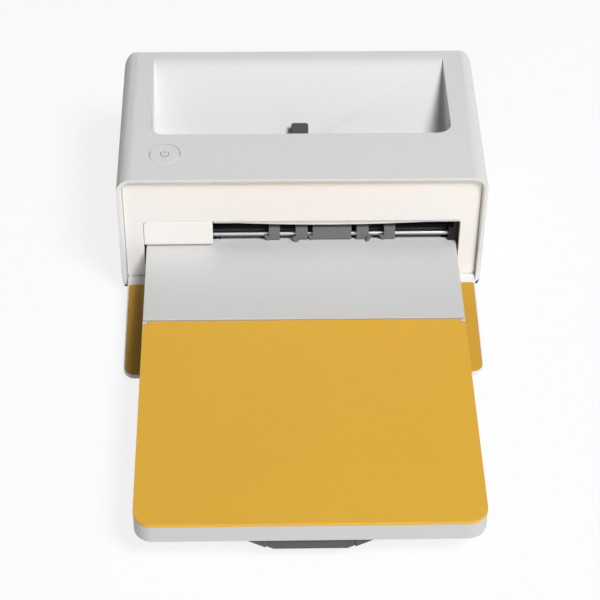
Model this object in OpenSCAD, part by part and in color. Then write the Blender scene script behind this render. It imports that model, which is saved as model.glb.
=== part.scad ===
// Compact photo printer with a phone dock on top and a sheet cassette in front.
// Millimetres. +Z is up and -Y is the front, where the cassette slides out.
// The origin is on the table, under the middle of the whole outline.

/* [Sleeve] */
// Width of the printer body
body_w = 165.8; // [162:0.2:172]
// Depth of the printer body
body_d = 96; // [95:0.5:104]
// Height of the printer body above the table
body_h = 68.5; // [68:0.5:76]
// Height of the feet below the body
foot_h = 4; // [3.5:0.1:4.4]
// Wall of the sleeve
wall = 2.4; // [2.2:0.1:2.6]
// Radius along the two upper side edges
top_edge_r = 7; // [4:0.5:10]
// Radius along the two lower side edges
bottom_edge_r = 5; // [3:0.5:6]
// Radius of the two rear corners, seen from above
back_corner_r = 6; // [4:0.5:9]
// Radius along the upper rear edge
back_edge_r = 1.5; // [1:0.5:2.5]

/* [Front panel] */
// How far the front panel lies behind the rim of the sleeve
panel_set_back = 2.7; // [2.6:0.1:3.2]
// Thickness of the front panel
panel_t = 2; // [1.5:0.1:2.2]
// Width of the front panel on each side of the cassette opening
opening_margin = 10.9; // [10.2:0.1:11.4]
// Height of the opening's upper edge above the table
opening_top = 41.6; // [40:0.2:44]
// Height of the opening's lower edge above the table
opening_bottom = 14.4; // [13:0.2:15]
// Width of the white block that fills the opening's left end
guide_block_w = 31.3; // [28:0.1:33]

/* [Dock] */
// Distance from each side of the body to the recess
recess_side_gap = 14.2; // [13.4:0.1:20]
// Distance from the front to the recess
recess_front = 32.3; // [32:0.1:34]
// Distance from the recess's rear edge to the back of the body
recess_back_gap = 8.5; // [7:0.5:12]
// Height of the recess's floor above the table
recess_floor = 47.5; // [46.5:0.5:50]
// Length of the recess's flat floor, in front of the ramp that the phone lies on
recess_flat = 20.25; // [19:0.25:23]
// Radius of the recess's two front corners
recess_corner_r = 6.5; // [4:0.5:9]
// Width of the charging plug
plug_w = 8; // [6:0.1:9]
// Thickness of the charging plug
plug_t = 2.6; // [2:0.1:3]
// Length of the charging plug
plug_len = 6.6; // [5:0.1:8]
// Height of the plug's axis over the ramp
plug_lift = 4.5; // [4:0.1:5]

/* [Power button] */
// Radius of the power button
button_r = 7; // [5:0.1:8]
// Distance from the body's left side to the middle of the button
button_inset = 21.4; // [19.4:0.2:27]
// Distance from the front to the middle of the button
button_back = 18.3; // [15:0.1:20]
// Travel of the power button
button_travel = 0.8; // [0.4:0.1:1]

/* [Front door] */
// Thickness of the front door
door_t = 2.4; // [2.2:0.1:2.5]
// Thickness of the door's yellow liner
liner_t = 1; // [0.6:0.1:1.2]
// Slope of the open door, from its hinge down to the table
door_tilt = 6; // [5:0.1:6.2]
// Radius of the door's free corners
door_corner_r = 5; // [3:0.5:7]
// Radius of the door's hinge pins
door_pin_r = 0.6; // [0.5:0.05:0.7]

/* [Cassette] */
// Clearance on each side of the cassette in its opening
cassette_play = 1; // [0.8:0.1:1.4]
// Height of the cassette
cassette_h = 10.4; // [10:0.1:10.6]
// Height of the cassette's top above the table
cassette_top = 26; // [25.8:0.1:26.2]
// How far the cassette stands out in front of the body
cassette_out = 161.3; // [150:0.5:166]
// How far the cassette reaches into the body
cassette_in = 26.5; // [25:0.5:27]
// Distance from the body's front to the lid's rear edge
lid_start = 45; // [38:0.5:50]
// Radius of the cassette's two outer corners
cassette_corner_r = 8; // [5:0.5:10]
// Walls of the cassette
tray_wall = 2; // [1.8:0.1:2.4]
// Floor of the cassette
tray_floor = 1.6; // [1.4:0.1:1.8]
// Thickness of the lid and of the fixed cover
lid_t = 1.6; // [1.4:0.1:1.8]
// Width of the finger grip under the cassette's outer end
grip_w = 36; // [30:1:44]

/* [Paper] */
// Width of a sheet
sheet_w = 102; // [100:0.5:104]
// Length of a sheet
sheet_len = 178; // [160:1:180]
// Height of the stack of sheets
stack_h = 4.4; // [1:0.1:4.5]
// Gap between the sheets and the cassette's right wall
sheet_gap = 4; // [3:0.1:5]

/* [Rollers] */
// Radius of the shaft at the paper outlet
exit_shaft_r = 1.25; // [1:0.05:1.4]
// Radius of the small rollers on that shaft
exit_roller_r = 2.1; // [1.8:0.1:2.3]
// Radius of the roller that picks a sheet from the cassette
pick_r = 4.8; // [4.4:0.1:5]
// Radius of the capstan, which moves the sheet
capstan_r = 3.8; // [3.4:0.1:4]
// Radius of the pinch roller over the capstan
pinch_r = 3.2; // [3:0.1:3.4]
// Radius of the rubber platen roller under the print head
platen_r = 5.8; // [5.4:0.1:6]
// Radius of the steel shafts of the rollers
shaft_r = 1.5; // [1.2:0.05:1.7]

/* [Ribbon] */
// Radius of the ribbon wound on the supply spool
supply_wind_r = 7.4; // [5:0.1:7.6]
// Radius of the ribbon wound on the take-up spool
take_up_wind_r = 4.6; // [3.8:0.1:5.4]
// Radius of both spool cores
core_r = 3.4; // [3:0.1:3.6]

/* [Gears] */
// Pitch diameter per tooth of every gear
gear_module = 0.5; // [0.48:0.01:0.51]
// Width of the gears
gear_w = 3.5; // [2.5:0.1:3.8]

/* [Hidden] */
$fn = 48;

// Clearances
run_gap = 0.05;      // radial play of a shaft in its bush or of a pin in its knuckle
part_gap = 0.3;      // between parts that move past each other
fit_gap = 0.15;      // around a fixed insert in its opening
slack = 0.01;        // overshoot of a cutting tool
paper_play = 0.1;    // between the stack of sheets and the rollers that pick from it

// The body is drawn from its front plane and moved so that the outline is centred.
front_y = (cassette_out - body_d) / 2;
half_w = body_w / 2;
opening_w = body_w - 2 * opening_margin;
cassette_w = opening_w - 2 * cassette_play;
inner_half_w = half_w - wall;
inner_back = body_d - wall;
inner_top = body_h - wall;
base_top = foot_h + wall;

// Frames beside the paper path
frame_t = 1.5;
frame_x = opening_w / 2;
frame_front = panel_set_back + panel_t + 1.4;
frame_back = inner_back - 1.6;
frame_top = 52;

// Dock recess
recess_back = body_d - recess_back_gap;
recess_wall = 2.2;
ramp_foot = recess_front + recess_flat;
recess_slope = atan2(body_h - recess_floor, recess_back - ramp_foot);
plug_base_u = 0.7;   // distance of the plug's foot up the ramp from the ramp's foot
pivot_drop = 2.03;    // from the underside of the recess's floor to the carrier's pivot
carrier_w = plug_w + 5;
carrier_t = plug_t + 2.6;
carrier_pin_r = 1;
cradle_t = 1.6;

// Front door, whose axis lies in the middle of its thickness
door_axis_y = door_t / 2 + 0.1;
door_axis_z = base_top + door_t / 2 + 0.4;
door_half_w = inner_half_w - part_gap;
door_len = inner_top - part_gap - door_axis_z;

liner_margin = 0.6;
liner_start = 4.5;
door_pin_len = 7;
door_pin_hold = 1.8;

// Cassette
cassette_bottom = cassette_top - cassette_h;
tray_top = cassette_top - lid_t;
tray_floor_top = cassette_bottom + tray_floor;
cover_end = 8.7;
lid_barrel_r = 0.9;
lid_axis_y = -lid_start - lid_barrel_r;
lid_axis_z = cassette_top - lid_barrel_r;
lid_pin_r = 0.45;
lid_gap = 0.4;
plate_t = 0.8;
plate_lift = 1.5;
plate_bottom = tray_floor_top + plate_lift;
plate_axis_y = -120;
plate_pin_r = 0.4;
stack_bottom = plate_bottom + plate_t;
stack_top = stack_bottom + stack_h;
sheet_end_gap = 1;
sheet_inner = cassette_in - tray_wall - sheet_end_gap;
sheet_x1 = cassette_w / 2 - tray_wall - sheet_gap;
sheet_x0 = sheet_x1 - sheet_w;
sheet_right = sheet_x1 - sheet_w / 2;

// Tooth counts of the gear train
exit_n = 16;
pick_n = 26;
capstan_n = 36;
idler_n = 28;
platen_n = 32;
take_up_n = 28;
reduction_n = 32;
pinion_n = 12;
function pitch_r(n) = n * gear_module / 2;
function mesh(a, b) = pitch_r(a) + pitch_r(b);

// Shaft positions as [y, z], each worked out from the one that it meshes with
exit_y = 10;
exit_rise = 1.9;
platen_y = 63.4;
take_up_y = 49.5;
reduction_y = 27.5;
pinion_y = 18.5;
supply_back_gap = 16;
supply_rise = 10.9;
exit_c = [exit_y, cassette_top + exit_rise];
pick_c = beside(exit_c, mesh(exit_n, pick_n), stack_top + paper_play + pick_r);

capstan_drop = 9.5;
capstan_c = beside(pick_c, mesh(pick_n, capstan_n), pick_c[1] - capstan_drop);
path_z = capstan_c[1] + capstan_r;
paper_gap = 0.15;
pinch_c = [capstan_c[0], path_z + paper_gap + pinch_r];
platen_c = [platen_y, path_z - platen_r];
idler_c = third_point(capstan_c, platen_c, mesh(capstan_n, idler_n), mesh(idler_n, platen_n));
take_up_c = above(idler_c, mesh(idler_n, take_up_n), take_up_y);
supply_c = [body_d - supply_back_gap, path_z + supply_rise];
reduction_c = above(pick_c, mesh(pick_n, reduction_n), reduction_y);
pinion_c = above(reduction_c, mesh(reduction_n, pinion_n), pinion_y);

// Point behind a, at the distance d and the height z
function beside(a, d, z) = [a[0] + sqrt(d * d - pow(z - a[1], 2)), z];

// Point over a, at the distance d and the depth y
function above(a, d, y) = [y, a[1] + sqrt(d * d - pow(y - a[0], 2))];

// Corner of the triangle over the line a-b with sides ra and rb, on its upper side
function third_point(a, b, ra, rb) =
    let (d = norm(b - a), along = (d * d + ra * ra - rb * rb) / (2 * d))
    let (off = sqrt(ra * ra - along * along), u = (b - a) / d)
    a + along * u + off * [-u[1], u[0]];

// Turn of gear b that sets its gap on gear a's tooth, on the line between their centres
function mesh_turn(a, b, na, nb, turn_a) =
    let (line = atan2(b[1] - a[1], b[0] - a[0]))
    line + 180 + 180 / nb - (turn_a - line) * na / nb;

platen_turn = 0;
idler_turn = mesh_turn(platen_c, idler_c, platen_n, idler_n, platen_turn);
capstan_turn = mesh_turn(idler_c, capstan_c, idler_n, capstan_n, idler_turn);
take_up_turn = mesh_turn(idler_c, take_up_c, idler_n, take_up_n, idler_turn);
pick_turn = mesh_turn(capstan_c, pick_c, capstan_n, pick_n, capstan_turn);
exit_turn = mesh_turn(pick_c, exit_c, pick_n, exit_n, pick_turn);
reduction_turn = mesh_turn(pick_c, reduction_c, pick_n, reduction_n, pick_turn);
pinion_turn = mesh_turn(reduction_c, pinion_c, reduction_n, pinion_n, reduction_turn);

bush_t = 1;
bush_out = 0.6;
gear_x = -frame_x - frame_t - bush_out - 0.4 - gear_w;
stub_r = 1.5;

// Ribbon cartridge, print head and head arm, beside each other across the path
rail_t = 1.5;
rail_gap = 2.5;
rail_x0 = sheet_x0 - rail_gap - rail_t;
rail_x1 = sheet_x1 + rail_gap;
spool_shaft_r = 2;
arm_t = 1.5;
arm_gap = 0.7;
arm_x0 = rail_x0 - arm_gap - part_gap - arm_t;
arm_x1 = rail_x1 + rail_t + arm_gap;
arm_back_gap = 6.5;
arm_rise = 2.4;
arm_c = [body_d - arm_back_gap, path_z + arm_rise];
arm_pin_r = 1.2;
head_reach_front = 4.5;
head_reach_back = 5.5;
head_y0 = platen_c[0] - head_reach_front;
head_y1 = platen_c[0] + head_reach_back;
head_gap = 0.35;
head_bottom = path_z + head_gap;
head_t = 3.6;
bracket_t = 1.6;
sink_h = 9;

// Cartridge door in the right wall
side_door_w = 44;
side_door_y1 = body_d - 12;
side_door_y0 = side_door_y1 - side_door_w;
side_door_z0 = 14;
side_door_z1 = 46;
side_axis_x = half_w - wall / 2;
side_axis_y = side_door_y0 + part_gap + wall / 2;
side_pin_r = 0.7;
side_pin_len = 4;

// ---- Drawing helpers ----
arc_steps = 8;

// One rounded corner, from angle a0 to a0 + 90; a zero radius gives the sharp corner
function corner(x, y, r, a0) = r > 0
    ? [for (i = [0:arc_steps]) let (a = a0 + 90 * i / arc_steps) [x + r * cos(a), y + r * sin(a)]]
    : [[x, y]];

// Rectangle with its own radius at each corner: low left, low right, high right, high left
function round_rect(x0, x1, y0, y1, r) = concat(
    corner(x0 + r[0], y0 + r[0], r[0], 180),
    corner(x1 - r[1], y0 + r[1], r[1], 270),
    corner(x1 - r[2], y1 - r[2], r[2], 0),
    corner(x0 + r[3], y1 - r[3], r[3], 90));

// Moves a piece from the body's front plane to the origin of the whole object
module place() {
    translate([0, front_y, 0]) children();
}

module box(x0, x1, y0, y1, z0, z1) {
    translate([x0, y0, z0]) cube([x1 - x0, y1 - y0, z1 - z0]);
}

// A shape in X and Z, drawn from y0 to y1
module along_y(y0, y1) {
    translate([0, y1, 0]) rotate([90, 0, 0]) linear_extrude(y1 - y0) children();
}

// A shape in Y and Z, drawn from x0 to x1
module along_x(x0, x1) {
    translate([x0, 0, 0]) rotate([90, 0, 90]) linear_extrude(x1 - x0) children();
}

module along_z(z0, z1) {
    translate([0, 0, z0]) linear_extrude(z1 - z0) children();
}

// Round bar along X through c, which is [y, z]
module bar(x0, x1, c, r) {
    translate([x0, c[0], c[1]]) rotate([0, 90, 0]) cylinder(h = x1 - x0, r = r);
}

module pair() {
    children();
    mirror([1, 0, 0]) children();
}

// ---- Housing ----
module round_block(w, y0, y1, z0, z1, upper_r, lower_r, corner_r, edge_r) {
    intersection() {
        along_y(y0, y1) polygon(round_rect(-w, w, z0, z1, [lower_r, lower_r, upper_r, upper_r]));
        along_z(z0, z1) polygon(round_rect(-w, w, y0, y1, [0, 0, corner_r, corner_r]));
        along_x(-w, w) polygon(round_rect(y0, y1, z0, z1, [0, edge_r, edge_r, 0]));
    }
}

recess_blend_r = 12;
void_over = 2;

// Side view of the dock recess, with the rounded brow at the top of the ramp
module recess_side(grow) {
    brow_y = recess_back + recess_blend_r * tan(recess_slope / 2);
    foot_y = ramp_foot + grow * tan(recess_slope / 2);
    lip_y = recess_back + grow / sin(recess_slope);
    brow = grow > 0 ? [[lip_y, body_h]] : [for (i = [0:arc_steps])
        let (a = 90 + recess_slope * (1 - i / arc_steps))
        [brow_y + recess_blend_r * cos(a), body_h - recess_blend_r + recess_blend_r * sin(a)]];
    head = grow > 0 ? [[recess_front - grow, body_h]]
        : [[brow_y, body_h + void_over], [recess_front, body_h + void_over]];
    polygon(concat([[recess_front - grow, recess_floor - grow], [foot_y, recess_floor - grow]],
        brow, head));
}

module recess_space(grow) {
    half = half_w - recess_side_gap + grow;
    r = recess_corner_r + grow;
    intersection() {
        along_x(-half, half) recess_side(grow);
        along_z(recess_floor - grow - 1, body_h + void_over)
            polygon(round_rect(-half, half, recess_front - grow, body_d, [r, r, 0, 0]));
    }
}

// Base plate and rear panel fill openings of the sleeve
base_half_w = half_w - 6;
base_y0 = 6;
base_y1 = body_d - 8;
rear_left_gap = 20.9;
rear_right_gap = 9.9;
rear_x0 = -half_w + rear_left_gap;
rear_x1 = half_w - rear_right_gap;
rear_z0 = 12;
rear_z1 = 42;
carrier_slot_w = carrier_w + 2 * part_gap + 0.8;
plug_base = [ramp_foot + plug_base_u * cos(recess_slope) - plug_lift * sin(recess_slope),
    recess_floor + plug_base_u * sin(recess_slope) + plug_lift * cos(recess_slope)];
pivot_z = recess_floor - recess_wall - pivot_drop;
carrier_tail = (plug_base[1] - pivot_z) / sin(recess_slope);
carrier_c = [plug_base[0] - carrier_tail * cos(recess_slope), pivot_z];

// Room in the sleeve's lower inner corners for the ends of the front door
inner_edge_r = bottom_edge_r - wall;

module sleeve_openings() {
    box(-base_half_w, base_half_w, base_y0, base_y1, foot_h - slack, base_top + slack);
    box(rear_x0, rear_x1, inner_back - slack, body_d + slack, rear_z0, rear_z1);
    box(inner_half_w - slack, half_w + slack, side_door_y0, side_door_y1, side_door_z0, side_door_z1);
    pair() bar(inner_half_w - slack, inner_half_w + door_pin_hold, [door_axis_y, door_axis_z],
        door_pin_r);
    pair() box(inner_half_w - inner_edge_r, inner_half_w, -slack, panel_set_back, base_top,
        base_top + inner_edge_r);
    translate([side_axis_x, side_axis_y, side_door_z0 - side_pin_len])
        cylinder(h = side_door_z1 - side_door_z0 + 2 * side_pin_len, r = side_pin_r);
    box(-carrier_slot_w / 2, carrier_slot_w / 2, recess_front + 1.2, ramp_foot + 0.6,
        recess_floor - recess_wall - 1.5, recess_floor + 1.5);
    translate([button_x, button_back, inner_top - 1])
        cylinder(h = wall + 2, r = button_r + fit_gap);
}

module outer_shell() {
    place() color("whitesmoke") difference() {
        union() {
            difference() {
                round_block(half_w, 0, body_d, foot_h, body_h, top_edge_r, bottom_edge_r,
                    back_corner_r, back_edge_r);
                translate([0, -slack, 0]) round_block(inner_half_w, 0, inner_back + slack, base_top,
                    inner_top, top_edge_r - wall, inner_edge_r, back_corner_r - wall,
                    max(back_edge_r - wall, 0));
            }
            recess_space(recess_wall);
        }
        recess_space(0);
        sleeve_openings();
    }
}

opening_r = 2.2;

module front_panel() {
    y1 = panel_set_back + panel_t;
    half = inner_half_w - fit_gap;
    r = top_edge_r - wall;
    place() color("linen") difference() {
        along_y(panel_set_back, y1)
            polygon(round_rect(-half, half, base_top + fit_gap, inner_top - fit_gap,
                [inner_edge_r, inner_edge_r, r, r]));
        along_y(panel_set_back - 1, y1 + 1) polygon(round_rect(-frame_x, frame_x,
            opening_bottom, opening_top, [1, 1, opening_r, opening_r]));
    }
}

// White block with its lower front edge curved under
module guide_block() {
    x0 = -frame_x + fit_gap;
    x1 = x0 + guide_block_w;
    nose_r = 3;
    shell_t = 1.8;
    z0 = cassette_top + part_gap;
    place() color("white") difference() {
        intersection() {
            along_x(x0, x1) polygon(round_rect(panel_set_back, frame_front, z0,
                opening_top - fit_gap, [nose_r, 0, 0, 0]));
            along_y(panel_set_back - 1, frame_front + 1) polygon(round_rect(x0, x1,
                z0, opening_top - fit_gap, [0, 0, 0, opening_r]));
        }
        box(x0 + shell_t, x1 - shell_t, panel_set_back + shell_t, frame_front + slack,
            z0 + shell_t, opening_top - fit_gap - shell_t);
    }
}

paper_slot_margin = 3;
paper_slot_h = 5.4;
port_inset = 9;
jack_c = [rear_x0 + port_inset, 31.8];
jack_r = 4.4;
jack_bore_r = 2.8;
jack_bore_len = 8;
usb_c = [rear_x0 + port_inset, 18];
usb_w = 9.2;
usb_h = 3.4;

module rear_panel() {
    t = 2;
    place() color("whitesmoke") difference() {
        box(rear_x0 + fit_gap, rear_x1 - fit_gap, body_d - t, body_d, rear_z0 + fit_gap,
            rear_z1 - fit_gap);
        box(sheet_x0 - paper_slot_margin, sheet_x1 + paper_slot_margin, body_d - t - slack,
            body_d + slack, path_z - 2, path_z - 2 + paper_slot_h);
        translate([jack_c[0], body_d + slack, jack_c[1]]) rotate([90, 0, 0])
            cylinder(h = t + 2 * slack, r = jack_r);
        box(usb_c[0] - usb_w / 2 - fit_gap, usb_c[0] + usb_w / 2 + fit_gap, body_d - t - slack,
            body_d + slack, usb_c[1] - usb_h / 2 - fit_gap, usb_c[1] + usb_h / 2 + fit_gap);
    }
}

foot_r = 6;
foot_x = base_half_w - 11;
foot_inset = 12;
screw_x = frame_x - 4;
screw_r = 1.2;
screw_head_r = 2.5;
screw_head_h = 1.3;
tab_w = 8;
tab_t = 2;
tab_len = 9;
screw_y = [30, body_d - 22];
runner_w = 3;
runner_x = [sheet_x0 - 12, sheet_x1 - 12];

// Floor of the printer, with two runners that the cassette slides on
module base_plate() {
    place() color("gainsboro") difference() {
        union() {
            box(-base_half_w + fit_gap, base_half_w - fit_gap, base_y0 + fit_gap,
                base_y1 - fit_gap, foot_h, base_top);
            for (x = runner_x)
                box(x, x + runner_w, base_y0 + fit_gap, cassette_in, base_top,
                    cassette_bottom - 0.1);
        }
        for (x = [-screw_x, screw_x], y = screw_y) {
            translate([x, y, foot_h - slack]) cylinder(h = wall + 2 * slack, r = screw_r);
            translate([x, y, foot_h - slack]) cylinder(h = screw_head_h + slack, r = screw_head_r);
        }
    }
}

module rubber_feet() {
    place() color("dimgray")
        for (x = [-foot_x, foot_x], y = [foot_inset, body_d - foot_inset])
            translate([x, y, 0]) cylinder(h = foot_h, r = foot_r);
}

module frame_screws() {
    place() color("silver")
        for (x = [-screw_x, screw_x], y = screw_y) translate([x, y, foot_h]) difference() {
            union() {
                cylinder(h = wall + tab_t, r = screw_r);
                cylinder(h = screw_head_h, r = screw_head_r);
            }
            for (a = [0, 90]) rotate(a)
                translate([-1.5, -0.3, -slack]) cube([3, 0.6, 0.7]);
        }
}

// ---- Frames and what they carry ----
// Shafts that run between both frames, as [centre, radius]
shafts = [[exit_c, exit_shaft_r], [pick_c, shaft_r], [capstan_c, shaft_r], [pinch_c, shaft_r],
    [platen_c, shaft_r]];

module frame_side(x0, tab_dir) {
    difference() {
        union() {
            along_x(x0, x0 + frame_t) polygon(round_rect(frame_front, frame_back, base_top,
                frame_top, [0, 0, 6, 6]));
            for (y = screw_y)
                box(tab_dir > 0 ? x0 + frame_t : x0 - tab_w, tab_dir > 0 ? x0 + frame_t + tab_w
                    : x0, y - tab_len / 2, y + tab_len / 2, base_top, base_top + tab_t);
        }
        for (s = shafts) bar(x0 - 1, x0 + frame_t + 1, s[0], s[1] + bush_t);
        bar(x0 - 1, x0 + frame_t + 1, arm_c, arm_pin_r);
        for (y = screw_y) translate([-tab_dir * screw_x, y, base_top - slack])
            cylinder(h = tab_t + 2 * slack, r = screw_r);
    }
}

module left_frame() {
    place() color("silver") {
        difference() {
            frame_side(-frame_x - frame_t, 1);
            bar(-frame_x - frame_t - 1, -frame_x + 1, take_up_c, spool_shaft_r + bush_t);
            bar(-frame_x - frame_t - 1, -frame_x + 1, pinion_c, motor_boss_r);
        }
        for (c = [idler_c, reduction_c])
            bar(gear_x - 0.4, -frame_x - frame_t + slack, c, stub_r);
    }
}

// The right frame has a window that the ribbon cartridge passes through
window_z = [path_z + 6.9, path_z + 16.9];

module right_frame() {
    place() color("silver") difference() {
        frame_side(frame_x, -1);
        bar(frame_x - 1, frame_x + frame_t + 1, supply_c, supply_wind_r + 1.4);
        bar(frame_x - 1, frame_x + frame_t + 1, take_up_c, take_up_wind_r + 2.4);
        box(frame_x - 1, frame_x + frame_t + 1, take_up_c[0], supply_c[0], window_z[0], window_z[1]);
    }
}

bar_y = exit_c[0] + exit_shaft_r + 1.2;
bar_t = 1.5;
bar_z0 = cassette_top + 1;
bar_h = 3.4;
bar_z1 = bar_z0 + bar_h;

// Bar behind the outlet shaft that its bearings stand on
module guide_bar() {
    place() color("gray") box(-frame_x, frame_x, bar_y, bar_y + bar_t, bar_z0, bar_z1);
}

// Covers of the outlet rollers as [offset from the sheet's middle, width, side of its foot or 0,
// side of its claw or 0]
holders = [[-26.4, 5, -1, 0], [-14, 5.5, 0, -1], [0, 17.7, -1, 0], [14, 5.5, 0, 1],
    [26.4, 5, -1, 0]];
holder_cheek = 1;
holder_wall = 0.7;
roller_room = 0.25;
holder_y0 = exit_c[0] - exit_roller_r - roller_room - holder_wall;
holder_z0 = cassette_top + part_gap;
holder_h = 7.9;
holder_foot = [2.2, 2.4, 1.8];
claw_len = 1.2;

module roller_cover(w) {
    z1 = holder_z0 + holder_h;
    difference() {
        along_x(-w / 2, w / 2) polygon(concat(corner(holder_y0 + 1, holder_z0 + 1, 1, 180),
            [[bar_y, holder_z0], [bar_y, bar_z1], [bar_y + bar_t, bar_z1], [bar_y + bar_t, z1]],
            corner(holder_y0 + 2, z1 - 2, 2, 90)));
        bar(-w, w, exit_c, exit_shaft_r + run_gap);
        bar(-w / 2 + holder_cheek, w / 2 - holder_cheek, exit_c, exit_roller_r + roller_room);
    }
}

// Foot that keeps the sheet down beside a cover, drawn for the right side
module cover_foot(w) {
    translate([w / 2 - slack, 0, holder_z0]) along_y(holder_y0, holder_y0 + holder_foot[2])
        polygon([[0, 0], [holder_foot[0] / 3, 0], [holder_foot[0], holder_foot[1]],
            [0, holder_foot[1]]]);
}

// Pointed claw in front of a cover, drawn for the right side
module cover_claw(w) {
    translate([w / 2, 0, holder_z0]) along_y(holder_y0 - claw_len, holder_y0 + slack)
        polygon([[-1.4, 0], [0, 0], [1.4, holder_foot[1]], [-0.4, holder_foot[1]]]);
}

module exit_roller_holders() {
    place() color("dimgray") for (h = holders)
        translate([sheet_right + h[0], 0, 0]) {
            roller_cover(h[1]);
            if (h[2] != 0) mirror([h[2] < 0 ? 1 : 0, 0, 0]) cover_foot(h[1]);
            if (h[3] != 0) mirror([h[3] < 0 ? 1 : 0, 0, 0]) cover_claw(h[1]);
        }
}

// Light strip under the opening's upper edge, with its lower edge bowed down
apron_end_h = 2.7;
apron_mid_h = 4;

module exit_apron() {
    y0 = panel_set_back + panel_t;
    t = 1;
    bow_r = 724;
    z_end = opening_top - apron_end_h;
    z_low = opening_top - apron_mid_h;
    z1 = opening_top + 3;
    place() color("lightgray") intersection() {
        box(-frame_x + guide_block_w + 2 * part_gap, frame_x, y0, y0 + t, z_low, z1);
        union() {
            box(-frame_x, frame_x, y0, y0 + t, z_end, z1);
            translate([sheet_right, y0 + t, z_low + bow_r]) rotate([90, 0, 0])
                cylinder(h = t, r = bow_r, $fn = 720);
        }
    }
}

guide_z = path_z - 2.1;
guide_t = 1;

// Floor of the paper path, before and behind the platen roller
module lower_guide() {
    place() color("gray") {
        box(-frame_x, frame_x, capstan_c[0] + capstan_r + 0.8, platen_c[0] - platen_r - 0.6,
            guide_z, guide_z + guide_t);
        box(-frame_x, frame_x, platen_c[0] + platen_r + 0.6, frame_back, guide_z,
            guide_z + guide_t);
    }
}

motor_r = 10;
motor_len = 19;
motor_boss_r = 2.8;
motor_shaft_r = 1;
board_t = 1.6;
board_gap = 2;
board_y1 = recess_front - recess_wall - board_gap;
board_x0 = -frame_x + motor_len + 15;
board_x1 = frame_x - 8;
board_z1 = inner_top - 3.6;
board_h = 13.5;
board_z0 = board_z1 - board_h;
pillar_inset = 6;
pillar_r = 2;

// Flat components as [from the board's left end, width, from its lower edge, height, thickness]
chips = [[30, 14, 2, 9, 1.4], [54, 9, 3, 7, 1], [72, 18, 1, 5, 4]];
capacitor_at = [9, 18];
capacitor_r = 3.2;
capacitor_len = 7;

// Circuit board on pillars in front of the dock recess, with its larger components
module main_board() {
    y0 = board_y1 - board_t;
    place() color("darkgreen") {
        box(board_x0, board_x1, y0, board_y1, board_z0, board_z1);
        for (x = [board_x0 + pillar_inset, board_x1 - pillar_inset])
            translate([x, board_y1 + board_gap, board_z1 - pillar_inset]) rotate([90, 0, 0])
                cylinder(h = board_gap, r = pillar_r);
        for (c = chips)
            translate([board_x0 + c[0], y0 - c[4], board_z0 + c[2]]) cube([c[1], c[4], c[3]]);
        for (x = capacitor_at)
            translate([board_x0 + x, y0, (board_z0 + board_z1) / 2]) rotate([90, 0, 0])
                cylinder(h = capacitor_len, r = capacitor_r);
    }
}

button_x = -half_w + button_inset;
button_flange_r = button_r + 1;
button_flange_t = 0.8;
button_stem_r = 1.5;
button_play = 0.1;
switch_board_z = inner_top - 7.3;
switch_board_t = 1.2;
switch_h = 2.4;
switch_top = switch_board_z + switch_board_t + switch_h;

module button_board() {
    half_x = button_flange_r + 2;
    half_y = 5;
    switch_half = 3;
    pillar_r = 1;
    board_top = switch_board_z + switch_board_t;
    place() color("darkgreen") translate([button_x, button_back, 0]) {
        box(-half_x, half_x, -half_y, half_y, switch_board_z, board_top);
        box(-switch_half, switch_half, -switch_half, switch_half, board_top, switch_top);
        for (x = [-half_x + pillar_r, half_x - pillar_r]) translate([x, 0, board_top])
            cylinder(h = inner_top - board_top, r = pillar_r);
    }
}

module power_button() {
    stem_z = switch_top + button_travel + button_play;
    flange_z = inner_top - button_play - button_flange_t;
    place() color("whitesmoke") translate([button_x, button_back, 0]) {
        translate([0, 0, flange_z]) cylinder(h = button_flange_t, r = button_flange_r);
        translate([0, 0, flange_z]) cylinder(h = body_h - flange_z, r = button_r);
        translate([0, 0, stem_z]) cylinder(h = flange_z + slack - stem_z, r = button_stem_r);
    }
}

module power_jack() {
    place() color("black") translate([jack_c[0], body_d, jack_c[1]]) rotate([90, 0, 0]) {
        difference() {
            cylinder(h = jack_bore_len + 2, r = jack_r);
            translate([0, 0, -slack]) cylinder(h = jack_bore_len + slack, r = jack_bore_r);
        }
        cylinder(h = jack_bore_len + 1, r = 0.9);
    }
}

module usb_port() {
    t = 0.4;
    place() color("silver") difference() {
        box(usb_c[0] - usb_w / 2 - fit_gap, usb_c[0] + usb_w / 2 + fit_gap, body_d - 9,
            body_d, usb_c[1] - usb_h / 2 - fit_gap, usb_c[1] + usb_h / 2 + fit_gap);
        box(usb_c[0] - usb_w / 2 + t, usb_c[0] + usb_w / 2 - t, body_d - 7.5, body_d + slack,
            usb_c[1] - usb_h / 2 + t, usb_c[1] + usb_h / 2 - t);
    }
}

module motor() {
    place() color("silver") difference() {
        union() {
            bar(-frame_x, -frame_x + motor_len, pinion_c, motor_r);
            bar(-frame_x - frame_t, -frame_x + slack, pinion_c, motor_boss_r);
            bar(-frame_x + motor_len, -frame_x + motor_len + 2, pinion_c, 3);
        }
        bar(-frame_x - frame_t - slack, -frame_x + 8, pinion_c, motor_shaft_r + run_gap);
    }
}

rail_bar_z = 35.4;
rail_bar_h = 3.2;

// End plates of the ribbon cartridge, which hold both spools
module cartridge_frame() {
    place() color("dimgray") for (x = [rail_x0, rail_x1]) difference() {
        union() {
            bar(x, x + rail_t, supply_c, supply_wind_r + 1.2);
            bar(x, x + rail_t, take_up_c, take_up_wind_r + 2.1);
            box(x, x + rail_t, take_up_c[0], supply_c[0], rail_bar_z, rail_bar_z + rail_bar_h);
        }
        for (c = [supply_c, take_up_c])
            bar(x - 1, x + rail_t + 1, c, spool_shaft_r + run_gap);
    }
}

film_t = 0.12;
film_rise = 0.1;
film_turn = 0.9;
film_off = 0.5;
film_edge_gap = 1;
film_z = path_z + film_rise;

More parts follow.
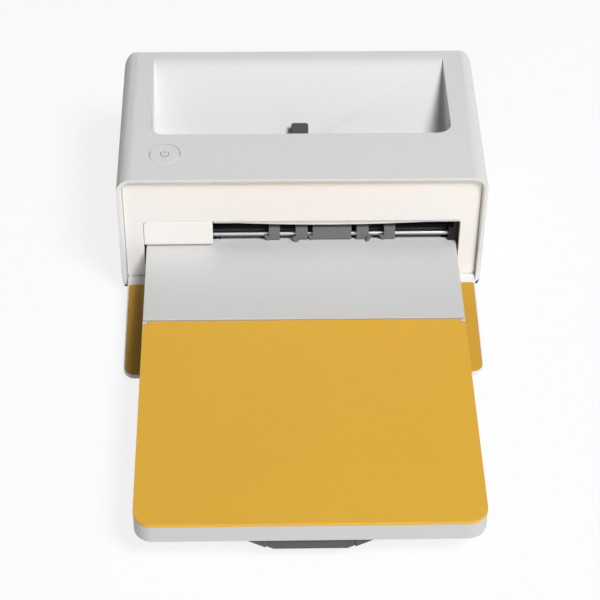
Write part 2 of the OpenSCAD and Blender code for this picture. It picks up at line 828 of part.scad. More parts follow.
// Ribbon stretched from the supply spool, under the print head, to the take-up spool
module ribbon_film() {
    top = film_z + film_t;
    inset = spool_gap + flange_t + film_edge_gap;
    line = [[supply_c[0] - 2.5, supply_c[1] - supply_wind_r - film_off], [head_y1 + film_turn, top],
        [head_y0 - film_turn, top], [take_up_c[0] + 1, take_up_c[1] - take_up_wind_r - film_off]];
    place() color("saddlebrown") along_x(rail_x0 + rail_t + inset, rail_x1 - inset)
        polygon(concat(line, [for (i = [len(line) - 1:-1:0]) line[i] - [0, film_t]]));
}

// Black bearing block of the outlet shaft beside the right frame
module shaft_bracket() {
    w = 4.5;
    y0 = frame_front;
    z0 = cassette_top + 0.5;
    place() color("black") difference() {
        union() {
            box(frame_x - w, frame_x, y0, bar_y, z0, z0 + 7.5);
            box(frame_x - w + 2, frame_x, y0, bar_y, z0 + 7.5, opening_top);
        }
        bar(frame_x - w - 1, frame_x + 1, exit_c, exit_shaft_r + run_gap);
    }
}

cradle_x = carrier_w / 2 + 0.3;
cradle_half_y = 2.6;

// Cheeks under the recess's floor that carry the plug's pivot
module dock_cradle() {
    place() color("gray") pair() difference() {
        box(cradle_x, cradle_x + cradle_t, carrier_c[0] - cradle_half_y,
            carrier_c[0] + cradle_half_y, carrier_c[1] - cradle_half_y,
            recess_floor - recess_wall);
        bar(cradle_x - 1, cradle_x + cradle_t + 1, carrier_c, carrier_pin_r);
    }
}

module bush(x, c, r) {
    difference() {
        bar(x, x + frame_t + bush_out, c, r + bush_t);
        bar(x - 1, x + frame_t + bush_out + 1, c, r + run_gap);
    }
}

module shaft_bushes() {
    place() color("darkgoldenrod") {
        for (s = shafts) {
            bush(-frame_x - frame_t - bush_out, s[0], s[1]);
            bush(frame_x, s[0], s[1]);
        }
        bush(-frame_x - frame_t - bush_out, take_up_c, spool_shaft_r);
    }
}

// Fixed pins of the front door, the side door, the head arm and the dock plug
module hinge_pins() {
    place() color("silver") {
        pair() bar(inner_half_w + door_pin_hold - door_pin_len, inner_half_w + door_pin_hold,
            [door_axis_y, door_axis_z], door_pin_r);
        for (z = [side_door_z0, side_door_z1])
            translate([side_axis_x, side_axis_y, z - side_pin_len])
                cylinder(h = 2 * side_pin_len, r = side_pin_r);
        bar(-frame_x - frame_t, arm_x0 + arm_t, arm_c, arm_pin_r);
        bar(arm_x1, frame_x + frame_t, arm_c, arm_pin_r);
        bar(-cradle_x - cradle_t, cradle_x + cradle_t, carrier_c, carrier_pin_r);
    }
}

// ---- Front door, drawn upright and laid open in front of the body ----
module lay_open() {
    place() translate([0, door_axis_y, door_axis_z]) rotate([90 + door_tilt, 0, 0]) children();
}

module front_door() {
    w = door_half_w;
    color("whitesmoke") lay_open() difference() {
        union() {
            bar(-w, w, [0, 0], door_t / 2);
            along_y(-door_t / 2, door_t / 2)
                polygon(round_rect(-w, w, 0, door_len, [0, 0, door_corner_r, door_corner_r]));
        }
        liner_shape(slack);
        pair() bar(inner_half_w + door_pin_hold - door_pin_len - part_gap, w + 1, [0, 0],
            door_pin_r + run_gap);
    }
}

module liner_shape(over) {
    w = door_half_w - liner_margin;
    r = door_corner_r - liner_margin;
    along_y(door_t / 2 - liner_t, door_t / 2 + over)
        polygon(round_rect(-w, w, liner_start, door_len - liner_margin, [1, 1, r, r]));
}

module door_liner() {
    color("goldenrod") lay_open() liner_shape(0);
}

// ---- Cassette ----
module cassette_outline(inset, y1) {
    w = cassette_w / 2 - inset;
    r = cassette_corner_r - inset;
    polygon(round_rect(-w, w, -cassette_out + inset, y1, [r, r, 0, 0]));
}

fence_t = 1.5;
fence_x = sheet_x0 - 0.8 - fence_t;

module cassette_tray() {
    half = cassette_w / 2;
    place() color("lightgray") difference() {
        union() {
            difference() {
                along_z(cassette_bottom, tray_top) cassette_outline(0, cassette_in);
                along_z(tray_floor_top, tray_top + 1)
                    cassette_outline(tray_wall, cassette_in - tray_wall);
                box(-half + tray_wall, half - tray_wall, cassette_in - tray_wall - slack,
                    cassette_in + 1, stack_top - 0.9, tray_top + 1);
            }
            box(fence_x, fence_x + fence_t, -cassette_out + tray_wall, cassette_in - tray_wall,
                cassette_bottom, tray_top - 0.4);
            pair() {
                bar(half - tray_wall, half, [lid_axis_y, lid_axis_z], lid_barrel_r);
                box(half - tray_wall, half, lid_axis_y - lid_barrel_r, lid_axis_y + lid_barrel_r,
                    tray_top - slack, lid_axis_z);
            }
        }
        pair() bar(half - tray_wall - 1, half + 1, [lid_axis_y, lid_axis_z], lid_pin_r);
        bar(fence_x - 1, fence_x + fence_t + 1, plate_c, plate_pin_r + run_gap);
        bar(half - tray_wall - 1, half + 1, plate_c, plate_pin_r + run_gap);
    }
}

module cassette_cover() {
    half = cassette_w / 2;
    place() color("lightgray") box(-half, half, lid_axis_y + lid_barrel_r + lid_gap, cover_end,
        tray_top, cassette_top);
}

grip_h = 7.6;
grip_len = 12;
grip_flank = 10;
grip_foot = 3;
grip_recess = 0.8;

module cassette_grip() {
    half = grip_w / 2;
    low_half = half - grip_foot;
    front = -cassette_out + 1;
    z = cassette_bottom;
    place() color("dimgray") difference() {
        along_y(front, front + grip_len) polygon([[-half - grip_flank, z],
            [-low_half - 1, z - grip_h + 0.6], [-low_half, z - grip_h], [low_half, z - grip_h],
            [low_half + 1, z - grip_h + 0.6], [half + grip_flank, z]]);
        box(-half, half, front - slack, front + grip_recess, z - grip_h - slack, z + slack);
    }
}

lid_pin_len = 8;

module lid_hinge_pins() {
    place() color("silver") pair() bar(cassette_w / 2 - lid_pin_len, cassette_w / 2 - 0.3,
        [lid_axis_y, lid_axis_z], lid_pin_r);
}

module cassette_lid() {
    half = cassette_w / 2;
    barrel = half - tray_wall - part_gap;
    place() color("goldenrod") difference() {
        union() {
            along_z(tray_top, cassette_top) cassette_outline(0, lid_axis_y);
            bar(-barrel, barrel, [lid_axis_y, lid_axis_z], lid_barrel_r);
        }
        pair() box(barrel, half + 1, lid_axis_y - lid_barrel_r - lid_gap, lid_axis_y + 1,
            tray_top - 1, cassette_top + 1);
        pair() bar(half - lid_pin_len - part_gap, half, [lid_axis_y, lid_axis_z],
            lid_pin_r + run_gap);
    }
}

plate_c = [plate_axis_y, plate_bottom + plate_t / 2];
plate_x0 = fence_x + fence_t + 0.3;
plate_x1 = cassette_w / 2 - tray_wall - 0.3;

module pressure_plate() {
    place() color("silver") {
        box(plate_x0, plate_x1, plate_axis_y - plate_pin_r, cassette_in - tray_wall - 1,
            plate_bottom, stack_bottom);
        bar(fence_x + 0.2, plate_x1 + tray_wall, plate_c, plate_pin_r);
    }
}

spring_root = -6;
spring_bend = 14;
spring_end = 18;

// Leaf that lifts the pressure plate
module lift_spring() {
    t = 0.4;
    w = 8;
    rise = plate_lift - t;
    z = tray_floor_top;
    line = [[spring_root, z], [0, z], [spring_bend, z + rise], [spring_end, z + rise]];
    place() color("silver") along_x(sheet_right - w / 2, sheet_right + w / 2)
        polygon(concat(line, [for (i = [len(line) - 1:-1:0]) line[i] + [0, t]]));
}

module paper_stack() {
    place() color("white") box(sheet_x0, sheet_x1, sheet_inner - sheet_len, sheet_inner,
        stack_bottom, stack_top);
}

// ---- Dock plug on its tilting carrier ----
module along_ramp() {
    place() translate([0, plug_base[0], plug_base[1]]) rotate([recess_slope, 0, 0]) children();
}

module dock_plug() {
    r = 1.2;
    color("dimgray") along_ramp() along_z(-plug_t / 2, plug_t / 2)
        polygon(round_rect(-plug_w / 2, plug_w / 2, -slack, plug_len, [0, 0, r, r]));
}

module plug_carrier() {
    half = carrier_w / 2;
    color("dimgray") difference() {
        along_ramp() {
            box(-half, half, -carrier_tail, -slack, -carrier_t / 2, carrier_t / 2);
            bar(-half, half, [-carrier_tail, 0], carrier_t / 2);
        }
        place() bar(-half - 1, half + 1, carrier_c, carrier_pin_r + run_gap);
    }
}

// ---- Rollers and gears ----
tooth_over = 0.9;     // tip over the pitch circle, in modules
tooth_under = 1.2;    // root under the pitch circle, in modules
tip_share = 0.12;     // half of a tooth's width at its tip, as a share of the pitch
root_share = 0.27;    // the same at its root

// Gear with n teeth on the shaft at c, with a tooth at the angle turn
module gear(c, n, turn, bore) {
    step = 360 / n;
    r_tip = pitch_r(n) + tooth_over * gear_module;
    r_root = pitch_r(n) - tooth_under * gear_module;
    difference() {
        translate([0, c[0], c[1]]) along_x(gear_x, gear_x + gear_w) polygon([
            for (i = [0:n - 1], p = [[r_root, -root_share], [r_tip, -tip_share],
                [r_tip, tip_share], [r_root, root_share]])
                let (a = turn + (i + p[1]) * step) [p[0] * cos(a), p[0] * sin(a)]]);
        bar(gear_x - 1, gear_x + gear_w + 1, c, bore);
    }
}

shaft_left = gear_x - 0.4;
shaft_right = frame_x + frame_t + bush_out + 0.4;

module exit_shaft() {
    place() color("silver") bar(shaft_left, shaft_right, exit_c, exit_shaft_r);
}

module sleeve_roller(x0, x1, c, r, bore) {
    difference() {
        bar(x0, x1, c, r);
        bar(x0 - 1, x1 + 1, c, bore);
    }
}

module exit_rollers() {
    place() color("dimgray") for (h = holders) {
        x = sheet_right + h[0];
        half = h[1] / 2 - holder_cheek - roller_room;
        sleeve_roller(x - half, x + half, exit_c, exit_roller_r, exit_shaft_r);
    }
}

module exit_gear() {
    place() color("ivory") gear(exit_c, exit_n, exit_turn, exit_shaft_r);
}

module pick_shaft() {
    place() color("silver") bar(shaft_left, shaft_right, pick_c, shaft_r);
}

pick_roller_w = 12;
pick_roller_off = 12;

module pick_rollers() {
    place() color("dimgray") for (x = [-pick_roller_off, pick_roller_off])
        sleeve_roller(sheet_right + x - pick_roller_w / 2, sheet_right + x + pick_roller_w / 2,
            pick_c, pick_r, shaft_r);
}

module pick_gear() {
    place() color("ivory") gear(pick_c, pick_n, pick_turn, shaft_r);
}

// Steel roller with thinner ends
module capstan() {
    place() color("silver") {
        bar(shaft_left, shaft_right, capstan_c, shaft_r);
        bar(sheet_x0 - 2, sheet_x1 + 2, capstan_c, capstan_r);
    }
}

module capstan_gear() {
    place() color("ivory") gear(capstan_c, capstan_n, capstan_turn, shaft_r);
}

module pinch_roller() {
    place() color("dimgray") {
        bar(-frame_x - frame_t - bush_out, shaft_right, pinch_c, shaft_r);
        bar(sheet_x0 - 2, sheet_x1 + 2, pinch_c, pinch_r);
    }
}

module platen_shaft() {
    place() color("silver") bar(shaft_left, shaft_right, platen_c, shaft_r);
}

module platen_roller() {
    place() color("dimgray") sleeve_roller(sheet_x0 - 1, sheet_x1 + 1, platen_c, platen_r, shaft_r);
}

module platen_gear() {
    place() color("ivory") gear(platen_c, platen_n, platen_turn, shaft_r);
}

module idler_gear() {
    place() color("ivory") gear(idler_c, idler_n, idler_turn, stub_r + run_gap);
}

module reduction_gear() {
    place() color("ivory") gear(reduction_c, reduction_n, reduction_turn, stub_r + run_gap);
}

module motor_pinion() {
    place() color("gold") {
        gear(pinion_c, pinion_n, pinion_turn, motor_shaft_r);
        bar(shaft_left, -frame_x + 6, pinion_c, motor_shaft_r);
    }
}

spool_gap = 0.4;
flange_t = 1;
flange_over = 0.8;

// Core with its wound ribbon between two flanges, on a shaft from x0 to x1
module spool(c, wind, x0, x1) {
    a = rail_x0 + rail_t + spool_gap;
    b = rail_x1 - spool_gap;
    bar(x0, x1, c, spool_shaft_r);
    bar(a, b, c, core_r);
    bar(a + flange_t + 2, b - flange_t - 2, c, wind);
    for (x = [a, b - flange_t]) bar(x, x + flange_t, c, wind + flange_over);
}

module take_up_spool() {
    place() color("saddlebrown")
        spool(take_up_c, take_up_wind_r, shaft_left, rail_x1 + rail_t);
}

module take_up_gear() {
    place() color("ivory") gear(take_up_c, take_up_n, take_up_turn, spool_shaft_r);
}

module supply_spool() {
    place() color("saddlebrown") spool(supply_c, supply_wind_r, rail_x0, rail_x1 + rail_t);
}

head_x0 = sheet_x0 - 1.2;
head_x1 = sheet_x1 + 1.2;
fin_t = 1.2;
fin_pitch = 5;

// Thermal print head with its finned heat sink
module print_head() {
    z1 = head_bottom + head_t;
    fins = floor((head_x1 - head_x0 - fin_t) / fin_pitch);
    place() color("lightgray") {
        box(head_x0, head_x1, head_y0, head_y1, head_bottom, z1);
        box(head_x0, head_x1, head_y0, head_y1, z1 + bracket_t, z1 + bracket_t + 2);
        for (i = [0:fins])
            box(head_x0 + i * fin_pitch, head_x0 + i * fin_pitch + fin_t, head_y0, head_y1,
                z1 + bracket_t + 2, z1 + bracket_t + sink_h);
    }
}

// Bracket between the print head and its heat sink, with an arm at each end
module head_arm() {
    z0 = head_bottom + head_t;
    arm_r = 2.6;
    tail = arm_c[0];
    place() color("silver") {
        box(arm_x0, arm_x1 + arm_t, head_y0, head_y1, z0, z0 + bracket_t);
        for (x = [arm_x0, arm_x1]) difference() {
            union() {
                along_x(x, x + arm_t) polygon([[head_y0, z0 - 2.5], [tail, arm_c[1] - arm_r],
                    [tail, arm_c[1] + arm_r], [head_y0, z0 + bracket_t]]);
                bar(x, x + arm_t, arm_c, arm_r);
            }
            bar(x - 1, x + arm_t + 1, arm_c, arm_pin_r + run_gap);
        }
    }
}

// ---- Side door for the ribbon cartridge ----
latch_w = 8;
latch_in = 1.6;

module cartridge_door() {
    y1 = side_door_y1 - part_gap;
    z0 = side_door_z0 + part_gap;
    z1 = side_door_z1 - part_gap;
    mid = (z0 + z1) / 2;
    place() color("whitesmoke") difference() {
        union() {
            box(inner_half_w, half_w, side_axis_y, y1, z0, z1);
            translate([side_axis_x, side_axis_y, z0]) cylinder(h = z1 - z0, r = wall / 2);
            box(inner_half_w - latch_in, inner_half_w, y1 - 4, y1 - 2.6, mid - latch_w / 2,
                mid + latch_w / 2);
        }
        for (z = [z0 - 1, z1 - side_pin_len])
            translate([side_axis_x, side_axis_y, z])
                cylinder(h = side_pin_len + 1, r = side_pin_r + run_gap);
        translate([half_w + 8 - 1, y1 - 5, mid]) cylinder(h = 12, r = 8, center = true);
    }
}

outer_shell();
front_panel();
guide_block();
rear_panel();
base_plate();
rubber_feet();
left_frame();
right_frame();
guide_bar();
exit_roller_holders();
exit_apron();
lower_guide();
main_board();
button_board();
power_jack();
usb_port();
motor();
cartridge_frame();
ribbon_film();
frame_screws();
shaft_bracket();
dock_cradle();
shaft_bushes();
hinge_pins();
front_door();
door_liner();
cassette_tray();
cassette_cover();
cassette_grip();
lid_hinge_pins();
lift_spring();
cassette_lid();
pressure_plate();
paper_stack();
power_button();
dock_plug();
plug_carrier();
exit_shaft();
exit_rollers();
exit_gear();
pick_shaft();
pick_rollers();
pick_gear();
capstan();
capstan_gear();
pinch_roller();
platen_shaft();
platen_roller();
platen_gear();
take_up_spool();
take_up_gear();
supply_spool();
print_head();
head_arm();
motor_pinion();
reduction_gear();
idler_gear();
cartridge_door();
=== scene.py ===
"""Compact photo printer with a phone dock on top, a fold-down front door and a sheet cassette."""

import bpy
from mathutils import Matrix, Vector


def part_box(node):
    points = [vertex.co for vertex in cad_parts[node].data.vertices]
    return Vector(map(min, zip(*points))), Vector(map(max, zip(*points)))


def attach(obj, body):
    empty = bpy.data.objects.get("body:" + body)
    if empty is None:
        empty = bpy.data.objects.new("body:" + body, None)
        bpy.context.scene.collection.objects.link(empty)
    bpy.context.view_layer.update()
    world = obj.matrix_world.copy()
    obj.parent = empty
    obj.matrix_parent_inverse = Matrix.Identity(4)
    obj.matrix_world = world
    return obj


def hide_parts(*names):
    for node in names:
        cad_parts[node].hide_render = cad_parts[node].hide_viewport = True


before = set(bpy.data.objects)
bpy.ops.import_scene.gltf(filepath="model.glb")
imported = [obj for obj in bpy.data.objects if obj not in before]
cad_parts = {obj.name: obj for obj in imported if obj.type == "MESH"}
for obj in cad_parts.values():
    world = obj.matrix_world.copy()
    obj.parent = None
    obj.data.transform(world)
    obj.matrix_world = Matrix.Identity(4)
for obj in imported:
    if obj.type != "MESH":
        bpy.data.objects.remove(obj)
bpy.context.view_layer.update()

import math

import bmesh
import bpy
from mathutils import Matrix, Vector

MM = 0.001

# Camera: stands in front of the printer, a little to its left, and looks down on it.
# Its place and focal length are those at which the body's edges fall as in the photograph.
LOOK_DOWN = math.radians(43.52)
LOOK_RIGHT = math.radians(1.83)
ROLL = math.radians(0.78)
FOCAL_PX = 1906.6
PHOTO_W_PX = 600
SENSOR_MM = 36.0
CAMERA_AT_M = (-0.0212, -0.61475, 0.610)
NEAREST_M = 0.01
FARTHEST_M = 10

camera_data = bpy.data.cameras.new("photo_camera")
camera_data.sensor_fit = "HORIZONTAL"
camera_data.sensor_width = SENSOR_MM
camera_data.lens = FOCAL_PX / PHOTO_W_PX * SENSOR_MM
camera_data.clip_start = NEAREST_M
camera_data.clip_end = FARTHEST_M
camera = bpy.data.objects.new("photo_camera", camera_data)
bpy.context.scene.collection.objects.link(camera)
turn = Matrix.Rotation(-LOOK_RIGHT, 3, "Z")
level_right = turn @ Vector((1, 0, 0))
ahead = turn @ Vector((0, math.cos(LOOK_DOWN), -math.sin(LOOK_DOWN)))
level_up = level_right.cross(ahead)
image_right = level_right * math.cos(ROLL) + level_up * math.sin(ROLL)
image_up = level_up * math.cos(ROLL) - level_right * math.sin(ROLL)
axes = Matrix((image_right, image_up, -ahead)).transposed()
camera.matrix_world = Matrix.Translation(CAMERA_AT_M) @ axes.to_4x4()
bpy.context.scene.camera = camera
bpy.context.scene.view_settings.view_transform = "Standard"

# Finishes: a Finish is one material, to which node() adds any shader node. Numbers that vary over
# the surface are written as Python sums and products of Sock values.
PLASTIC_SPECULAR = 0.22
TONE_DRIFT_SCALE = 18.0
GRAIN_DEPTH_MM = 0.03
ROUGHNESS_SPAN = 0.1
MIX_SHARE, MIX_LOW, MIX_HIGH, MIX_COLOUR = 0, 6, 7, 2


class Sock:
    """One output of a node, with the arithmetic that the finishes use."""

    def __init__(self, graph, socket):
        self.graph = graph
        self.socket = socket

    def _math(self, operation, first, second):
        return self.graph.node("ShaderNodeMath", {"operation": operation}, {0: first, 1: second})

    def __add__(self, other):
        return self._math("ADD", self, other)

    def __sub__(self, other):
        return self._math("SUBTRACT", self, other)

    def __rsub__(self, other):
        return self._math("SUBTRACT", other, self)

    def __mul__(self, other):
        return self._math("MULTIPLY", self, other)


class Graph:
    """A tree of nodes. node() adds one node, with its settings and inputs, and gives an output."""

    def __init__(self, tree):
        self.nodes = tree.nodes
        self.links = tree.links

    def node(self, kind, settings, values, output=0):
        new = self.nodes.new(kind)
        for name, value in settings.items():
            setattr(new, name, value)
        for name, value in values.items():
            if isinstance(value, Sock):
                self.links.new(value.socket, new.inputs[name])
            else:
                new.inputs[name].default_value = value
        return Sock(self, new.outputs[output])


class Finish(Graph):
    """A Principled material whose base colour, roughness and bump may vary over the surface."""

    def __init__(self, name, **sockets):
        self.material = bpy.data.materials.new(name)
        self.material.use_nodes = True
        super().__init__(self.material.node_tree)
        self.shader = self.nodes["Principled BSDF"]
        self.place = self.node("ShaderNodeTexCoord", {}, {}, "Object")
        for name, value in sockets.items():
            self.shader.inputs[name.replace("_", " ")].default_value = value

    def noise(self, scale, detail=2.0, stretch=(1, 1, 1)):
        """Noise from 0 to 1. A stretch below 1 draws it out along that axis."""
        place = self.node("ShaderNodeMapping", {}, {"Vector": self.place, "Scale": stretch})
        return self.node("ShaderNodeTexNoise", {}, {
            "Vector": place, "Scale": scale, "Detail": detail})

    def between(self, share, low, high):
        """Colour from low to high as share goes from 0 to 1."""
        return self.node("ShaderNodeMix", {"data_type": "RGBA"},
                         {MIX_SHARE: share, MIX_LOW: low, MIX_HIGH: high}, MIX_COLOUR)

    def drive(self, **sockets):
        """Lets outputs of nodes set the shader's inputs, which are named with underscores."""
        for name, value in sockets.items():
            self.links.new(value.socket, self.shader.inputs[name.replace("_", " ")])

    def two_tone(self, tone, dark, light, roughness, span=ROUGHNESS_SPAN):
        """Colour from dark to light, and roughness from its value up by span, as tone rises."""
        self.drive(Base_Color=self.between(tone, paint(*dark), paint(*light)),
                   Roughness=tone * span + roughness)

    def bump(self, height, strength, distance):
        self.drive(Normal=self.node("ShaderNodeBump", {}, {
            "Height": height, "Strength": strength, "Distance": distance}, "Normal"))


def paint(red, green, blue):
    """The shader's value of a colour that is written as it looks on a screen, from 0 to 255."""
    return [((c / 255 + 0.055) / 1.055) ** 2.4 if c > 10 else c / 255 / 12.92
            for c in (red, green, blue)] + [1.0]


def moulded(name, colour, roughness, tone, grain_mm=0.22, grain=0.12):
    """Plastic with a fine spark-eroded grain, whose colour drifts darker by up to tone."""
    finish = Finish(name, Specular_IOR_Level=PLASTIC_SPECULAR)
    dark = paint(*(max(c - tone, 0) for c in colour))
    drift = finish.noise(TONE_DRIFT_SCALE, 3.0)
    finish.drive(Base_Color=finish.between(drift, dark, paint(*colour)))
    fine = finish.noise(1 / (grain_mm * MM), 1.0)
    finish.drive(Roughness=fine * ROUGHNESS_SPAN + (roughness - ROUGHNESS_SPAN / 2))
    finish.bump(fine, grain, GRAIN_DEPTH_MM * MM)
    return finish.material


# Studio: a pale floor that the printer stands on, a key lamp high in front on the right and a
# large weak lamp low in front. The world is white to the camera and in reflections, and lights
# the scene only as a dim grey.
FLOOR_HALF_M = 6.0
FLOOR_GLOW_SHARE = 0.85
WORLD_LIGHT = 0.04
LAMP_AWAY_M = 3.0
LAMPS = {  # name: direction towards it, side in metres, power in watts
    "key_lamp": ((0.34, -0.46, 0.82), 0.9, 82),
    "front_lamp": ((0.20, -0.98, 0.10), 2.5, 32),
}


def seen_directly(nodes, links):
    """1 where the camera sees the surface, straight or in a reflection or through glass."""
    path = nodes.new("ShaderNodeLightPath")
    total = path.outputs["Is Camera Ray"]
    for name in ("Is Glossy Ray", "Is Transmission Ray"):
        larger = nodes.new("ShaderNodeMath")
        larger.operation = "MAXIMUM"
        links.new(total, larger.inputs[0])
        links.new(path.outputs[name], larger.inputs[1])
        total = larger.outputs[0]
    return total


floor_mesh = bpy.data.meshes.new("floor")
floor_mesh.from_pydata([(x * FLOOR_HALF_M, y * FLOOR_HALF_M, 0)
                        for x, y in ((-1, -1), (1, -1), (1, 1), (-1, 1))], [], [(0, 1, 2, 3)])
floor = bpy.data.objects.new("floor", floor_mesh)
bpy.context.scene.collection.objects.link(floor)
floor_finish = Finish("pale_floor", Roughness=0.9, Specular_IOR_Level=0.1)
floor_finish.drive(Base_Color=floor_finish.between(
    floor_finish.noise(3.0), paint(246, 246, 246), paint(250, 250, 250)))
glow = floor_finish.nodes.new("ShaderNodeEmission")
glow_mix = floor_finish.nodes.new("ShaderNodeMixShader")
seen_share = Sock(floor_finish, seen_directly(floor_finish.nodes, floor_finish.links))
glow_share = seen_share * FLOOR_GLOW_SHARE
floor_finish.links.new(glow_share.socket, glow_mix.inputs[0])
floor_finish.links.new(floor_finish.shader.outputs[0], glow_mix.inputs[1])
floor_finish.links.new(glow.outputs[0], glow_mix.inputs[2])
floor_finish.links.new(glow_mix.outputs[0], floor_finish.nodes["Material Output"].inputs[0])
floor_mesh.materials.append(floor_finish.material)

world = bpy.data.worlds.new("studio")
bpy.context.scene.world = world
world.use_nodes = True
world_nodes = world.node_tree.nodes
world_links = world.node_tree.links
world_tone = world_nodes.new("ShaderNodeMix")
world_tone.data_type = "RGBA"
world_tone.inputs[MIX_LOW].default_value = (WORLD_LIGHT, WORLD_LIGHT, WORLD_LIGHT, 1)
world_tone.inputs[MIX_HIGH].default_value = (1, 1, 1, 1)
world_links.new(seen_directly(world_nodes, world_links), world_tone.inputs[MIX_SHARE])
world_links.new(world_tone.outputs[MIX_COLOUR], world_nodes["Background"].inputs["Color"])

for lamp_name, (towards, size_m, watts) in LAMPS.items():
    lamp_data = bpy.data.lights.new(lamp_name, "AREA")
    lamp_data.shape = "SQUARE"
    lamp_data.size = size_m
    lamp_data.energy = watts
    lamp = bpy.data.objects.new(lamp_name, lamp_data)
    lamp.location = Vector(towards).normalized() * LAMP_AWAY_M
    lamp.rotation_euler = Vector(towards).to_track_quat("Z", "Y").to_euler()
    bpy.context.scene.collection.objects.link(lamp)

# Sleeve: one moulding that wraps over the top and sides, with the dock recess sunk in its top.
# White plastic with a fine matt grain. Its edges are rounded, and the recess's floor and ramp
# run into the walls in a fillet that dies out where the ramp meets the top.
SHELL_WHITE = (231, 231, 231)
SLEEVE_EDGE_MM = 0.7
SMOOTH_BELOW = math.radians(38)
RECESS_SIDE_MM = 14.2
RECESS_FRONT_MM = 32.3
RECESS_BACK_MM = 8.5
RECESS_FLOOR_MM = 47.5
RAMP_FOOT_MM = 52.55
RECESS_CORNER_MM = 6.5
RECESS_FILLET_MM = 3.2
RECESS_OVER_MM = 9.0
BROW_R_MM = 12.0
BROW_STEPS = 12
BROW_OVER_MM = 0.01
FILLET_TOP_SHARE = 0.3
FILLER_OVER_MM = 1.0
PLUG_SLOT_W_MM = 14.4
PLUG_SLOT_Y_MM = (33.5, 53.15)
PLUG_SLOT_OFF_FLOOR_MM = (-4.5, 1.5)
RIM_FILLET_MM = 1.5
MERGE_MM = 0.002
FLAT_BELOW = math.radians(0.6)
SAME_PLACE_M = 1e-6
SAME_PLANE_M = 1e-5
ON_BROW_M = 2e-5
CORNER_LEAST_M = 1e-3
FILLET_SLACK = 1.05
FACES_DOWN = -0.5
UPRIGHT_BELOW = 0.1
SIDEWAYS_BELOW = 0.3


def settle(piece):
    """Turns the piece's modifiers into a plain mesh."""
    shown = piece.evaluated_get(bpy.context.evaluated_depsgraph_get())
    mesh = bpy.data.meshes.new_from_object(shown)
    piece.modifiers.clear()
    piece.data = mesh


def shaded(piece):
    """Smooth shading that keeps large flat faces flat and sharp edges sharp."""
    piece.data.set_sharp_from_angle(angle=SMOOTH_BELOW)
    weighted = piece.modifiers.new("normals", "WEIGHTED_NORMAL")
    weighted.keep_sharp = True
    settle(piece)


def seat(piece, body, slot, *nodes):
    """Lets the piece move with a body, and stand for the solids named."""
    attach(piece, body)
    if nodes:
        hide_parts(*nodes)


def made(name, shape, material):
    """A new object from a bmesh, in the scene."""
    mesh = bpy.data.meshes.new(name)
    shape.to_mesh(mesh)
    shape.free()
    mesh.shade_smooth()
    mesh.materials.append(material)
    new = bpy.data.objects.new(name, mesh)
    bpy.context.scene.collection.objects.link(new)
    return new


def copied(node, name, material):
    """A merged copy of a solid, whose flat faces are whole again."""
    shape = bmesh.new()
    shape.from_mesh(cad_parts[node].data)
    bmesh.ops.remove_doubles(shape, verts=shape.verts, dist=MERGE_MM * MM)
    bmesh.ops.dissolve_limit(shape, angle_limit=FLAT_BELOW, verts=shape.verts, edges=shape.edges)
    return made(name, shape, material)


def rounded(piece, edge_mm, segments=3):
    """Rounds every sharp edge of the piece."""
    bevel = piece.modifiers.new("edges", "BEVEL")
    bevel.width = edge_mm * MM
    bevel.segments = segments
    bevel.limit_method = "ANGLE"
    bevel.angle_limit = SMOOTH_BELOW
    settle(piece)
    shaded(piece)


def dressed(node, name, material, body, slot, edge_mm, segments=3):
    """Puts a copy with rounded edges in the place of a solid."""
    new = copied(node, name, material)
    rounded(new, edge_mm, segments)
    seat(new, body, slot, node)


def combined(piece, operation, tool):
    """Adds the tool's solid to the piece or cuts it away, and removes the tool."""
    change = piece.modifiers.new(operation.lower(), "BOOLEAN")
    change.operation = operation
    change.solver = "EXACT"
    change.object = tool
    settle(piece)
    bpy.data.objects.remove(tool)


def block_shape(low, high):
    """A box from its lowest to its highest corner, as a bmesh."""
    shape = bmesh.new()
    bmesh.ops.create_cube(shape, size=1.0)
    bmesh.ops.scale(shape, vec=high - low, verts=shape.verts)
    bmesh.ops.translate(shape, vec=(low + high) / 2, verts=shape.verts)
    return shape


sleeve_low, sleeve_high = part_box("outer_shell")
body_front = sleeve_low.y
ramp_back = (sleeve_high.y - body_front) / MM - RECESS_BACK_MM
ramp_slope = math.atan2(sleeve_high.z / MM - RECESS_FLOOR_MM, ramp_back - RAMP_FOOT_MM)


def at(x_mm, y_mm, z_mm):
    """A point given in millimetres from the body's middle, its front plane and the table."""
    return Vector((x_mm * MM, body_front + y_mm * MM, z_mm * MM))


def recess_outline(grow_mm):
    """Side view of the recess as a list of (y, z) in millimetres."""
    floor_z = RECESS_FLOOR_MM - grow_mm
    top = sleeve_high.z / MM
    start = [(RECESS_FRONT_MM - grow_mm, floor_z),
             (RAMP_FOOT_MM + grow_mm * math.tan(ramp_slope / 2), floor_z)]
    if grow_mm:
        return start + [(ramp_back + grow_mm / math.sin(ramp_slope), top),
                        (RECESS_FRONT_MM - grow_mm, top)]
    brow_y = ramp_back + BROW_R_MM * math.tan(ramp_slope / 2)
    turns = [math.pi / 2 + ramp_slope * (1 - i / BROW_STEPS) for i in range(BROW_STEPS + 1)]
    brow = [(brow_y + BROW_R_MM * math.cos(a), top + BROW_OVER_MM + BROW_R_MM * (math.sin(a) - 1))
            for a in turns]
    return start + brow + [(brow_y, top + RECESS_OVER_MM), (RECESS_FRONT_MM, top + RECESS_OVER_MM)]


